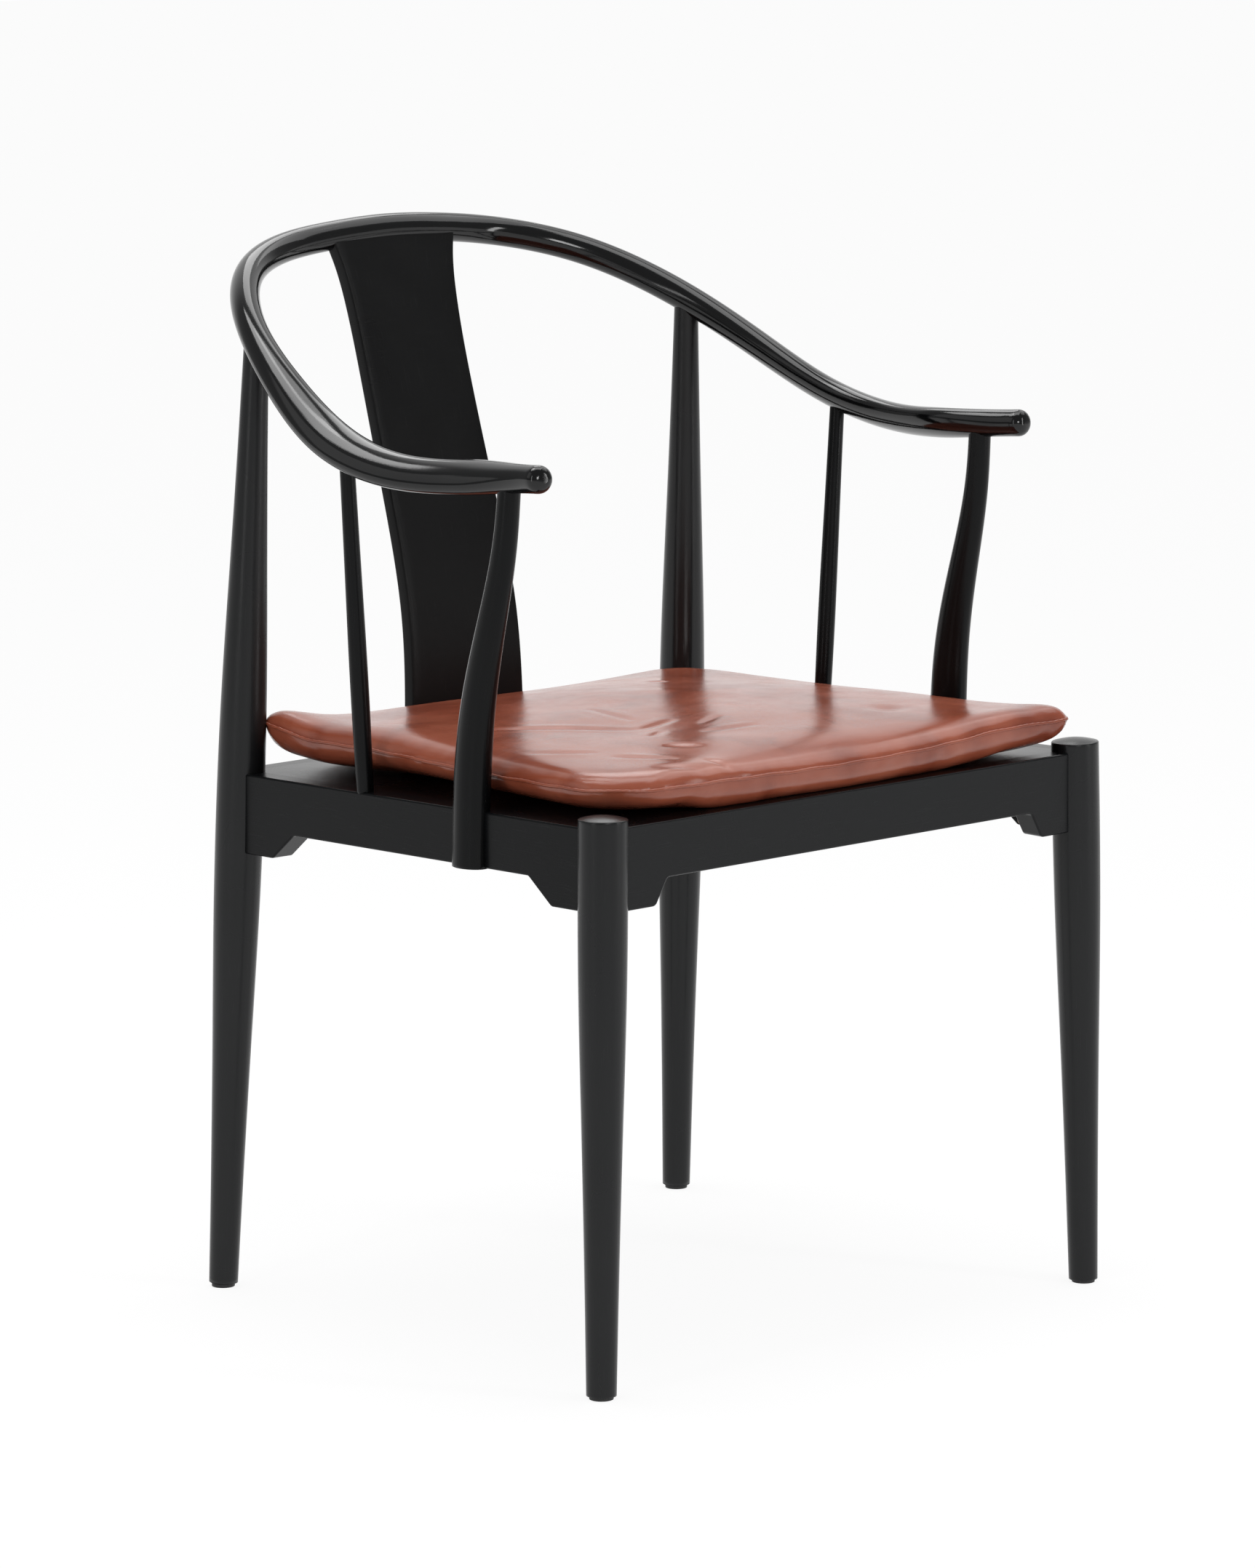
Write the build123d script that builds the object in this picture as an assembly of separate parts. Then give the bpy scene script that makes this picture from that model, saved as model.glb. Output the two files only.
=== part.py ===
from build123d import *

import math
import os

# Horseshoe back armchair. Millimetres, +Z up, the front faces -Y and the sitter's left is +X.
# The origin is on the floor, midway between the sides and midway from front to back.

# ---------------------------------------------------------------------------- driving dimensions
# Crest rail: the centreline of one bent stick, from arm tip round the back to arm tip
crest_height = 804.3  # centreline at the back
arm_height = 660.8  # centreline at the lowest part of the arms
arm_half_width = 256.5  # centreline at the widest part of the arms
rail_back = 263.6  # centreline behind the origin
rail_reach = 461.2  # back centreline to the arm tips
rail_diameter = 23.0  # round section of the back
arm_pad_width = 34.0  # oval section under the forearm
arm_pad_thickness = 21.0
arm_pad_tilt = 30.0  # degrees, the outer edge of the oval is the lower one
arm_tip_diameter = 21.0
arm_tip_rounding = 8.0

# Legs: the axes lean, foot centres are on the floor
foot_diameter = 22.4
leg_diameter = 36.8  # at the seat rails
front_leg_height = 428.0
front_leg_dome = 2.5
front_foot_x = 256.6
front_foot_y = -262.7
front_leg_top_x = 247.8
front_leg_top_y = -255.4
leg_edge_rounding = 1.2
rear_foot_x = 243.0
rear_foot_y = 185.0
rear_leg_joint_y = 155.5  # where its axis meets the crest rail
rear_leg_top_diameter = 18.8

# Seat frame: rails between the legs, falling to the back
seat_height = 421.0  # top of the rails at the front legs
seat_fall = 13.5
seat_rail_depth = 42.0
seat_rail_thickness = 20.0
seat_rail_outset = 8.0  # outer face from the line of the leg axes
back_rail_outset = 10.0
seat_rail_softening = 1.5
bracket_drop = 20.0
side_bracket_reach = 49.0  # flat under side, from the leg axis
side_bracket_slope = 26.0
end_bracket_reach = 45.5
end_bracket_slope = 11.5
bracket_rounding = 5.0
tenon_thickness = 8.0
tenon_shoulder = 9.0  # below the top and above the bottom of the rail
tenon_stop = 7.0  # from the leg's axis, so that two tenons never meet

# Seat panel, corner blocks and screws
panel_thickness = 9.0
panel_rebate = 5.0
block_leg = 38.0
block_height = 44.0
corner_screw_diameter = 5.0
corner_screw_length = 48.0
corner_screw_height = 9.0  # above the block's under side
panel_screw_diameter = 4.0
panel_screw_bite = 6.0
post_screw_diameter = 4.0
post_screw_length = 23.0
post_screw_pitch = 20.0

# Back splat: a board bent in side view, waisted in front view
splat_thickness = 12.0
splat_setback = 3.2  # behind the middle of the back rail at its foot
splat_top_setback = 3.9  # in front of the crest rail's centreline
splat_top_drop = 4.0  # its bent line ends this far under the centreline
splat_width_bottom = 118.0
splat_width_waist = 106.0
splat_width_top = 128.0
splat_tongue_thickness = 7.0
splat_tongue_depth = 14.0
splat_tongue_shoulder = 9.0
splat_tongue_rise = 6.0

# Arm posts: lapped over the outside of the side rails
arm_post_y = -116.3  # at the side rail
arm_post_joint_y = -153.5  # at the crest rail
arm_post_width = 32.0  # front to back at the seat
arm_post_thickness = 24.0  # side to side at the seat
arm_post_top_diameter = 17.2
arm_post_outset = 0.2  # centre from the side rail's outer face

# Side spindles: between arm post and rear leg
spindle_y = 14.7
spindle_diameter = 14.0
spindle_top_diameter = 11.4
spindle_foot_diameter = 12.8
spindle_foot_offset = 1.5  # outside the middle of the side rail

# Round tenons
round_tenon_depth = 17.0
round_tenon_rise = 4.0  # top above the crest rail's centreline
leg_tenon_diameter = 13.0
post_tenon_diameter = 11.0
spindle_tenon_diameter = 8.0

# Floor glides
glide_diameter = 18.0
glide_thickness = 2.5
glide_pin_diameter = 3.0
glide_pin_length = 12.0

# Loose cushion, laid on the seat panel
cushion_front_half = 240.0
cushion_rear_half = 217.0
cushion_overhang = 8.6  # front edge beyond the front legs' axes
cushion_rear_gap = 6.1  # rear edge from the rear legs' axes
cushion_waist = 5.0  # how far the sides pull in
cushion_corner = 26.0
cushion_height = 43.0
cushion_seam_height = 23.0
cushion_bottom_inset = 30.0
cushion_top_inset = 70.0
leather = 1.4
cushion_rest_gap = 0.3

# Fits
glue_gap = 0.1
cope_gap = 0.15

# Bend of the crest rail, from the middle of the back to a tip: shares of the half width,
# of the reach and of the rise from the arms to the back
RAIL_BEND = [
    (0.000, 0.000, 1.000),
    (0.203, 0.000, 0.984),
    (0.382, 0.003, 0.951),
    (0.663, 0.074, 0.835),
    (0.842, 0.195, 0.630),
    (0.951, 0.358, 0.341),
    (0.998, 0.510, 0.106),
    (0.994, 0.676, 0.000),
    (0.953, 0.835, 0.015),
    (0.981, 1.000, 0.057),
]
# Side views of the splat and of an arm post: shares of height and of lean
SPLAT_BEND = [(0.0, 0.0), (0.25, 0.065), (0.50, 0.353), (0.75, 0.690), (1.0, 1.0)]
POST_BEND = [(0.0, 0.0), (0.22, 0.02), (0.43, 0.18), (0.635, 0.54), (0.84, 0.89), (1.0, 1.0)]
# Front view of the splat: shares of height and of the two changes of half width, at the waist
# and at the flare under the crest rail
SPLAT_SIDES = [
    (0.00, 0.00, 0.0),
    (0.42, 0.70, 0.0),
    (0.69, 1.00, 0.0),
    (0.86, 1.00, 0.1),
    (0.95, 1.00, 0.5),
    (1.00, 1.00, 1.0),
]
# Edge of the cushion under and over its seam: shares of the inset and of the height from the
# seam, and the way the leather faces there in degrees above level
CUSHION_UNDER = [(1.0, 1.0, -90), (0.47, 0.8, -62), (0.13, 0.44, -32), (0.0, 0.0, 0)]
CUSHION_OVER = [(0.08, 0.4, 40), (0.32, 0.72, 75), (1.0, 1.0, 90)]
# Taper of the legs below the seat: shares of the seat height and of the gain in diameter
LEG_TAPER = [(0.0, 0.0), (0.24, 0.25), (0.475, 0.57), (0.70, 0.895), (0.95, 1.0)]
# Taper of a rear leg above the seat: shares of height and of the loss of diameter
REAR_TAPER = [(0.15, 0.1), (0.43, 0.41), (0.72, 0.745), (1.0, 1.0)]


# ---------------------------------------------------------------------------- small helpers
def blend(low, high, share):
    """Value between low and high, easing in and out as share goes from 0 to 1."""
    share = min(max(share, 0.0), 1.0)
    return low + (high - low) * share * share * (3 - 2 * share)


def at_height(start, end, height):
    """Point at a height on the straight line through two points."""
    share = (height - start.Z) / (end.Z - start.Z)
    return start + (end - start) * share


def cut(shape, *tools):
    """The shape less every tool."""
    for tool in tools:
        shape = shape - tool
    return shape


def turned(start, end, radii, extra=0.0, dome=0.0):
    """Round piece along start to end, from (distance, radius) pairs along its axis."""
    points = [(radius + extra, along) for along, radius in radii]
    last = points[-1]
    foot = Line((0, points[0][1]), points[0])
    side = Spline(*points)
    if dome:
        tip = (0, last[1] + dome)
        head = ThreePointArc(last, (last[0] * 0.5, last[1] + dome * 0.75), tip)
    else:
        tip = (0, last[1])
        head = Line(last, tip)
    axis = Line(tip, (0, points[0][1]))
    profile = Plane.XZ * make_face(Curve([foot, side, head, axis]))
    return Plane(origin=start, z_dir=end - start) * revolve(profile, Axis.Z)


def rod(start, direction, diameter, length):
    """Plain cylinder from a point along a direction."""
    return Plane(origin=start, z_dir=direction) * extrude(Circle(diameter / 2), amount=length)


def screw(start, direction, diameter, length):
    """Countersunk screw whose head is flush with its start."""
    shank = extrude(Circle(diameter / 2), amount=length)
    sink = Cone(
        diameter * 0.95,
        diameter / 2,
        diameter * 0.6,
        align=(Align.CENTER, Align.CENTER, Align.MIN),
    )
    return Plane(origin=start, z_dir=direction) * (shank + sink)


# ---------------------------------------------------------------------------- crest rail
def rail_edge():
    """Centreline of the crest rail, from the right tip round the back to the left tip."""
    half = [
        Vector(
            side * arm_half_width,
            rail_back - run * rail_reach,
            arm_height + rise * (crest_height - arm_height),
        )
        for side, run, rise in RAIL_BEND
    ]
    other = [Vector(-point.X, point.Y, point.Z) for point in half[:0:-1]]
    return Spline(*other, *half)


RAIL = rail_edge()


def rail_share(y):
    """Share of the rail's length at a place on its left side, from front to back."""
    low, high = 0.55, 1.0
    for _ in range(40):
        middle = (low + high) / 2
        if (RAIL @ middle).Y > y:
            low = middle
        else:
            high = middle
    return low


def rail_point(y):
    """Point of the rail's centreline on the left side, at a distance from front to back."""
    return RAIL @ rail_share(y)


def rail_section(share, extra):
    """Section of the rail at a share of its length: round at the back, oval on the arms."""
    place = RAIL @ share
    tangent = RAIL % share
    run = (rail_back - place.Y) / rail_reach
    pad = (run - 0.18) / 0.34
    tip = (run - 0.80) / 0.17
    width = blend(blend(rail_diameter, arm_pad_width, pad), arm_tip_diameter, tip)
    thickness = blend(blend(rail_diameter, arm_pad_thickness, pad), arm_tip_diameter, tip)
    outward = Vector(0, 0, 1).cross(tangent).normalized()
    upward = tangent.cross(outward)
    tilt = math.radians(arm_pad_tilt)
    wide = outward * math.cos(tilt) - upward * math.sin(tilt)
    plane = Plane(origin=place, x_dir=wide, z_dir=tangent)
    return plane * Ellipse(width / 2 + extra, thickness / 2 + extra)


def rail_half(extra=0.0, count=24):
    """The left half of the rail up to its tip, swollen by extra where it cuts its neighbours."""
    start = 0.4  # begins beyond the middle, so that the two halves run on smoothly
    end = 1 - arm_tip_rounding / RAIL.length
    shares = [start + (end - start) * index / count for index in range(count + 1)]
    stick = loft([rail_section(share, extra) for share in shares])
    return split(stick, bisect_by=Plane.YZ, keep=Keep.TOP)


def rail_tip():
    """Rounded nose that ends the left arm, on the square end of the stick."""
    radius = arm_tip_diameter / 2
    flat = radius - arm_tip_rounding
    nose = [
        Line((0, 0), (radius, 0)),
        RadiusArc((radius, 0), (flat, arm_tip_rounding), -arm_tip_rounding),
        Line((flat, arm_tip_rounding), (0, arm_tip_rounding)),
        Line((0, arm_tip_rounding), (0, 0)),
    ]
    tip = revolve(Plane.XZ * make_face(Curve(nose)), Axis.Z)
    share = 1 - arm_tip_rounding / RAIL.length
    return Plane(origin=RAIL @ share, z_dir=RAIL % share) * tip


# ---------------------------------------------------------------------------- legs
REAR_FOOT = Vector(rear_foot_x, rear_foot_y, 0)
REAR_TOP = rail_point(rear_leg_joint_y)
FRONT_FOOT = Vector(front_foot_x, front_foot_y, 0)
FRONT_TOP = Vector(front_leg_top_x, front_leg_top_y, front_leg_height)


def lower_radii():
    """Radii of a leg from the floor to the middle of the seat rails."""
    gain = leg_diameter - foot_diameter
    return [(seat_height * up, (foot_diameter + gain * share) / 2) for up, share in LEG_TAPER]


def above_glide(leg):
    """The leg, sawn off where its glide begins."""
    return split(leg, bisect_by=Plane.XY.offset(glide_thickness), keep=Keep.TOP)


def front_leg_solid(extra=0.0):
    """Left front leg: thin foot, full width at the seat, domed top."""
    length = (FRONT_TOP - FRONT_FOOT).length
    radii = lower_radii() + [(length, leg_diameter / 2)]
    leg = turned(FRONT_FOOT, FRONT_TOP, radii, extra, front_leg_dome)
    rim = leg.edges().filter_by(GeomType.CIRCLE).sort_by(SortBy.LENGTH)[-1]
    return above_glide(fillet(rim, leg_edge_rounding))


def rear_leg_solid(extra=0.0):
    """Left rear leg: one piece from the floor to the middle of the crest rail."""
    length = (REAR_TOP - REAR_FOOT).length
    upper = length - seat_height
    loss = leg_diameter - rear_leg_top_diameter
    above = [
        (seat_height + upper * up, (leg_diameter - loss * share) / 2) for up, share in REAR_TAPER
    ]
    return above_glide(turned(REAR_FOOT, REAR_TOP, lower_radii() + above, extra))


def leg_tenon(extra=0.0):
    """Round tenon at the head of the left rear leg."""
    direction = (REAR_TOP - REAR_FOOT).normalized()
    start = REAR_TOP - direction * (round_tenon_depth - round_tenon_rise)
    return rod(start, direction, leg_tenon_diameter + 2 * extra, round_tenon_depth + extra)


def glide_solid(foot, extra=0.0):
    """Nylon disc under a foot, with the pin that holds it."""
    disc = extrude(Circle(glide_diameter / 2), amount=glide_thickness)
    pin = extrude(Circle(glide_pin_diameter / 2 + extra), amount=glide_pin_length + extra)
    return Pos(foot.X, foot.Y, 0) * (disc + pin)


# ---------------------------------------------------------------------------- seat rails
class SeatRail:
    """One rail of the seat frame, between two leg axes, with a bracket at each end."""

    def __init__(self, start, end, outset, reach, slope):
        self.start = start
        self.length = math.hypot(end.X - start.X, end.Y - start.Y)
        self.fall = start.Z - end.Z
        self.outset = outset
        self.inset = seat_rail_thickness - outset
        self.reach = reach
        self.slope = slope
        along = Vector(end.X - start.X, end.Y - start.Y, 0).normalized()
        self.plane = Plane(
            origin=(start.X, start.Y, 0), x_dir=along, z_dir=along.cross(Vector(0, 0, 1))
        )

    def top(self, along):
        """Height of the rail's top at a distance from its first leg axis."""
        return self.start.Z + seat_rail_depth / 2 - self.fall * along / self.length

    def low(self, along):
        """Height of the rail's under side, between the brackets."""
        return self.top(along) - seat_rail_depth

    def at(self, along, offset, height):
        """World point from a distance along, an offset outward and a height."""
        return self.plane.from_local_coords(Vector(along, height, offset))

    def body(self):
        """The board with its two brackets, from leg axis to leg axis."""
        far = self.length
        foot = self.reach
        rise = self.reach + self.slope
        corners = [
            (0, self.top(0)),
            (far, self.top(far)),
            (far, self.low(far) - bracket_drop),
            (far - foot, self.low(far - foot) - bracket_drop),
            (far - rise, self.low(far - rise)),
            (rise, self.low(rise)),
            (foot, self.low(foot) - bracket_drop),
            (0, self.low(0) - bracket_drop),
        ]
        outline = make_face(Polyline(*corners, close=True))
        bends = [corner for corner in outline.vertices() if 1 < corner.X < far - 1]
        outline = fillet(bends, bracket_rounding)
        board = Pos(0, 0, -self.inset) * extrude(outline, amount=seat_rail_thickness)
        faces = board.faces().sort_by(Axis.Z)
        long_edges = [
            edge
            for edge in list(faces[0].edges()) + list(faces[-1].edges())
            if 1 < edge.center().X < far - 1
        ]
        return self.plane * fillet(long_edges, seat_rail_softening)

    def tenons(self, extra=0.0):
        """The two stub tenons, one in each leg."""
        middle = (self.outset - self.inset) / 2
        stop = tenon_stop - extra
        root = leg_diameter / 2 + 3
        solids = []
        for end, inward in ((0, 1), (self.length, -1)):
            low = self.low(end) + tenon_shoulder - extra
            high = self.top(end) - tenon_shoulder + extra
            box = Box(root - stop, high - low, tenon_thickness + 2 * extra)
            along = end + inward * (stop + root) / 2
            solids.append(self.plane * (Pos(along, (low + high) / 2, middle) * box))
        return solids


RAIL_MIDDLE = seat_height - seat_rail_depth / 2
FRONT_AXIS = at_height(FRONT_FOOT, FRONT_TOP, RAIL_MIDDLE)
REAR_AXIS = at_height(REAR_FOOT, REAR_TOP, RAIL_MIDDLE - seat_fall)
FRONT_AXIS_RIGHT = Vector(-FRONT_AXIS.X, FRONT_AXIS.Y, FRONT_AXIS.Z)
REAR_AXIS_RIGHT = Vector(-REAR_AXIS.X, REAR_AXIS.Y, REAR_AXIS.Z)
SEAT_RUN = REAR_AXIS.Y - FRONT_AXIS.Y
SIDE = SeatRail(FRONT_AXIS, REAR_AXIS, seat_rail_outset, side_bracket_reach, side_bracket_slope)
FRONT = SeatRail(
    FRONT_AXIS_RIGHT, FRONT_AXIS, seat_rail_outset, end_bracket_reach, end_bracket_slope
)
BACK = SeatRail(REAR_AXIS, REAR_AXIS_RIGHT, back_rail_outset, end_bracket_reach, end_bracket_slope)
SEAT_PLANE = Plane(
    origin=(0, FRONT_AXIS.Y, seat_height), x_dir=(1, 0, 0), z_dir=(0, seat_fall / SEAT_RUN, 1)
)
SEAT_SLANT = math.hypot(SEAT_RUN, seat_fall) / SEAT_RUN  # length on the seat per length on plan


def side_along(y):
    """Distance along the side rail of a place from front to back."""
    return (y - FRONT_AXIS.Y) / SEAT_RUN * SIDE.length


def deck_height(y):
    """Height of the seat panel's top at a place from front to back."""
    return seat_height - seat_fall * (y - FRONT_AXIS.Y) / SEAT_RUN


# ---------------------------------------------------------------------------- seat panel, blocks
def panel_solid(extra=0.0):
    """Board let into a rebate all round the inside of the rails, flush with their tops."""
    side_edge = panel_rebate + extra - SIDE.inset
    front_edge = FRONT.inset - panel_rebate - extra
    back_edge = BACK.inset - panel_rebate - extra
    corners = [SIDE.at(front_edge, side_edge, 0), SIDE.at(SIDE.length - back_edge, side_edge, 0)]
    corners += [Vector(-corner.X, corner.Y, 0) for corner in reversed(corners)]
    flat = [(corner.X, (corner.Y - FRONT_AXIS.Y) * SEAT_SLANT) for corner in corners]
    outline = make_face(Polyline(*flat, close=True))
    board = extrude(outline, amount=-panel_thickness - extra)
    if extra:
        board = board + extrude(outline, amount=5)
    return SEAT_PLANE * board


class CornerBlock:
    """Three-cornered block that ties an end rail, a side rail and their leg."""

    def __init__(self, axis, along_side, end_rail):
        along_end = Vector(-1, 0, 0)
        beside = SIDE.inset + glue_gap
        before = end_rail.inset + glue_gap
        self.axis = axis
        self.corner = Vector(axis.X, axis.Y, 0) + along_end * beside + along_side * before
        self.end_tip = self.corner + along_end * block_leg
        self.side_tip = self.corner + along_side * block_leg
        self.bottom = deck_height(axis.Y) - panel_thickness - block_height

    def body(self):
        """The bare block, from its under side up to the seat panel."""
        tips = [(tip.X, tip.Y) for tip in (self.corner, self.end_tip, self.side_tip)]
        outline = make_face(Polyline(*tips, close=True))
        prism = Pos(0, 0, self.bottom) * extrude(outline, amount=block_height + 5, dir=(0, 0, 1))
        under_panel = SEAT_PLANE.offset(-panel_thickness - glue_gap)
        return split(prism, bisect_by=under_panel, keep=Keep.BOTTOM)

    def leg_screw(self):
        """Screw through the long face into the leg, under the tenons."""
        height = Vector(0, 0, self.bottom + corner_screw_height)
        start = (self.end_tip + self.side_tip) / 2 + height
        target = Vector(self.axis.X, self.axis.Y, 0) + height
        return screw(start, target - start, corner_screw_diameter, corner_screw_length)

    def panel_screw(self):
        """Screw up through the block into the seat panel."""
        place = self.corner + (self.end_tip - self.corner) * 0.56
        place += (self.side_tip - self.corner) * 0.16
        start = Vector(place.X, place.Y, self.bottom)
        length = deck_height(place.Y) - panel_thickness + panel_screw_bite - self.bottom
        return screw(start, Vector(0, 0, 1), panel_screw_diameter, length)


# ---------------------------------------------------------------------------- back splat
SPLAT_FOOT = (REAR_AXIS.Y + splat_setback, deck_height(REAR_AXIS.Y))
SPLAT_HEAD = (rail_back - splat_top_setback, crest_height - splat_top_drop)


def splat_side(thickness, below, above):
    """Side view of the splat, with its two ends run on straight."""
    lean = SPLAT_HEAD[0] - SPLAT_FOOT[0]
    rise = SPLAT_HEAD[1] - SPLAT_FOOT[1]
    centre = Spline(
        *[(SPLAT_FOOT[0] + lean * out, SPLAT_FOOT[1] + rise * up) for up, out in SPLAT_BEND]
    )
    count = 12
    stations = [(centre @ (i / count), centre % (i / count)) for i in range(count + 1)]
    stations[0] = (stations[0][0] - stations[0][1] * below, stations[0][1])
    stations[-1] = (stations[-1][0] + stations[-1][1] * above, stations[-1][1])
    front = []
    rear = []
    for place, direction in stations:
        normal = Vector(-direction.Y, direction.X) * (thickness / 2)
        front.append(place + normal)
        rear.append(place - normal)
    outline = [Spline(*front), Line(front[-1], rear[-1]), Spline(*rear), Line(rear[0], front[0])]
    return Plane.YZ * make_face(Curve(outline))


def splat_solid():
    """The board itself: its side view and its front view carried through each other."""
    low = SPLAT_FOOT[1]
    waist = (splat_width_waist - splat_width_bottom) / 2
    flare = (splat_width_top - splat_width_waist) / 2
    half = [
        (splat_width_bottom / 2 + waist * narrow + flare * wide, low + (crest_height - low) * up)
        for up, narrow, wide in SPLAT_SIDES
    ]
    other = [(-x, z) for x, z in half]
    outline = [Spline(*half), Line(half[-1], other[-1]), Spline(*other), Line(other[0], half[0])]
    front = extrude(Plane.XZ * make_face(Curve(outline)), amount=2 * rail_back, both=True)
    side = extrude(splat_side(splat_thickness, 5, 0), amount=splat_width_top, both=True)
    return side & front


def splat_tongues(extra=0.0):
    """Tongue at the foot, for the back rail, and at the head, for the crest rail."""
    thickness = splat_tongue_thickness + 2 * extra
    board = splat_side(thickness, splat_tongue_depth + extra, splat_tongue_rise + extra)
    foot_width = splat_width_bottom - 2 * splat_tongue_shoulder + 2 * extra
    head_width = splat_width_waist - 2 * splat_tongue_shoulder + 2 * extra
    foot_level = SPLAT_FOOT[1] + 2
    head_level = crest_height - rail_diameter / 2
    foot = extrude(board, amount=foot_width / 2, both=True)
    head = extrude(board, amount=head_width / 2, both=True)
    foot = split(foot, bisect_by=Plane.XY.offset(foot_level), keep=Keep.BOTTOM)
    head = split(head, bisect_by=Plane.XY.offset(head_level), keep=Keep.TOP)
    return [foot, head]


# ---------------------------------------------------------------------------- arm posts
POST_ALONG = side_along(arm_post_y)


def post_solid(extra=0.0):
    """Left arm post: level oval sections, wide at the seat and round at the crest rail."""
    top = rail_point(arm_post_joint_y)
    foot = SIDE.at(POST_ALONG, SIDE.outset + arm_post_outset, SIDE.low(POST_ALONG))
    run = top - foot
    centre = Spline(
        *[
            Vector(foot.X + run.X * up, foot.Y + run.Y * out, foot.Z + run.Z * up)
            for up, out in POST_BEND
        ]
    )
    count = 14
    sections = []
    for index in range(count + 1):
        place = centre @ (index / count)
        taper = ((place.Z - foot.Z) / run.Z - 0.2) / 0.8
        width = blend(arm_post_width, arm_post_top_diameter, taper)
        thickness = blend(arm_post_thickness, arm_post_top_diameter, taper)
        oval = Ellipse(thickness / 2 + extra, width / 2 + extra)
        sections.append(Pos(place.X, place.Y, place.Z) * oval)
    return loft(sections)


def post_tenon(extra=0.0):
    """Round tenon at the head of the left arm post."""
    start = rail_point(arm_post_joint_y) - Vector(0, 0, round_tenon_depth - round_tenon_rise)
    return rod(start, (0, 0, 1), post_tenon_diameter + 2 * extra, round_tenon_depth + extra)


def post_screws():
    """Two screws from inside the side rail into the arm post."""
    middle = SIDE.top(POST_ALONG) - seat_rail_depth / 2 - panel_thickness / 2
    heights = (middle - post_screw_pitch / 2, middle + post_screw_pitch / 2)
    return [
        screw(
            SIDE.at(POST_ALONG, -SIDE.inset, height),
            SIDE.plane.z_dir,
            post_screw_diameter,
            post_screw_length,
        )
        for height in heights
    ]


# ---------------------------------------------------------------------------- side spindles
def spindle_ends():
    """Foot and head of the left spindle's axis."""
    along = side_along(spindle_y)
    middle = (SIDE.outset - SIDE.inset) / 2
    return SIDE.at(along, middle + spindle_foot_offset, SIDE.top(along)), rail_point(spindle_y)


def spindle_solid():
    """Left spindle between side rail and crest rail, without its tenons."""
    foot, head = spindle_ends()
    length = (head - foot).length
    radii = [
        (-2, spindle_foot_diameter / 2),
        (length * 0.30, spindle_diameter / 2),
        (length * 0.65, (spindle_diameter + spindle_top_diameter) / 4),
        (length, spindle_top_diameter / 2),
    ]
    return turned(foot, head, radii)


def spindle_tenons(extra=0.0):
    """Round tenons at the foot and at the head of the left spindle."""
    foot, head = spindle_ends()
    direction = (head - foot).normalized()
    diameter = spindle_tenon_diameter + 2 * extra
    low = rod(foot + direction, -direction, diameter, round_tenon_depth + 1 + extra)
    start = head - direction * (round_tenon_depth - round_tenon_rise)
    return [low, rod(start, direction, diameter, round_tenon_depth + extra)]


# ---------------------------------------------------------------------------- cushion
def cushion_outline(inset, height):
    """Rounded outline of the cushion at a height above the panel, its sides pulled in."""
    front = inset - cushion_overhang
    rear = SEAT_RUN - cushion_rear_gap - inset
    front_half = cushion_front_half - inset
    rear_half = cushion_rear_half - inset
    middle = (front + rear) / 2
    waist = (front_half + rear_half) / 2 - cushion_waist
    sides = [
        Line((-front_half, front), (front_half, front)),
        ThreePointArc((front_half, front), (waist, middle), (rear_half, rear)),
        Line((rear_half, rear), (-rear_half, rear)),
        ThreePointArc((-rear_half, rear), (-waist, middle), (-front_half, front)),
    ]
    face = make_face(Curve(sides))
    return SEAT_PLANE * (Pos(0, 0, height) * fillet(face.vertices(), cushion_corner))


def cushion_solid(skin):
    """Thin pillow, less a skin all round: flat under side, full at the seam, crowned top."""
    under = cushion_seam_height - cushion_rest_gap
    over = cushion_height - cushion_seam_height
    levels = [
        (cushion_bottom_inset * inset, cushion_seam_height - under * drop, angle)
        for inset, drop, angle in CUSHION_UNDER
    ]
    levels += [
        (cushion_top_inset * inset, cushion_seam_height + over * rise, angle)
        for inset, rise, angle in CUSHION_OVER
    ]
    outlines = []
    for inset, height, angle in levels:
        facing = math.radians(angle)
        outlines.append(
            cushion_outline(inset + skin * math.cos(facing), height - skin * math.sin(facing))
        )
    return loft(outlines, ruled=True)


# ---------------------------------------------------------------------------- assembly
NODES = {}


def mirrored(shape):
    """The same piece on the sitter's right."""
    return mirror(shape, about=Plane.YZ)


def pair(name, left):
    """Keep a piece of the left side and its mirror image."""
    NODES[name + "_left"] = left
    NODES[name + "_right"] = mirrored(left)


def both(*shapes):
    """Pieces of the left side together with their mirror images."""
    return list(shapes) + [mirrored(shape) for shape in shapes]


rail_cope = rail_half(cope_gap)
front_leg_cope = front_leg_solid(cope_gap)
rear_leg_cope = rear_leg_solid(cope_gap)
panel_space = panel_solid(glue_gap)

front_block = CornerBlock(FRONT_AXIS, SIDE.plane.x_dir, FRONT)
rear_block = CornerBlock(REAR_AXIS, -SIDE.plane.x_dir, BACK)
leg_screws = [front_block.leg_screw(), rear_block.leg_screw()]
panel_screws = [front_block.panel_screw(), rear_block.panel_screw()]

# Crest rail: one stick, bored and grooved from below
arm = cut(
    rail_half() + rail_tip(),
    leg_tenon(glue_gap),
    post_tenon(glue_gap),
    spindle_tenons(glue_gap)[1],
)
NODES["crest_rail"] = cut(arm + mirrored(arm), splat_tongues(glue_gap)[1])

# Splat: coped under the crest rail, standing on the back rail
splat = cut(splat_solid(), *both(rail_cope))
for tongue in splat_tongues():
    splat = splat + tongue
NODES["back_splat"] = splat

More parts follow.
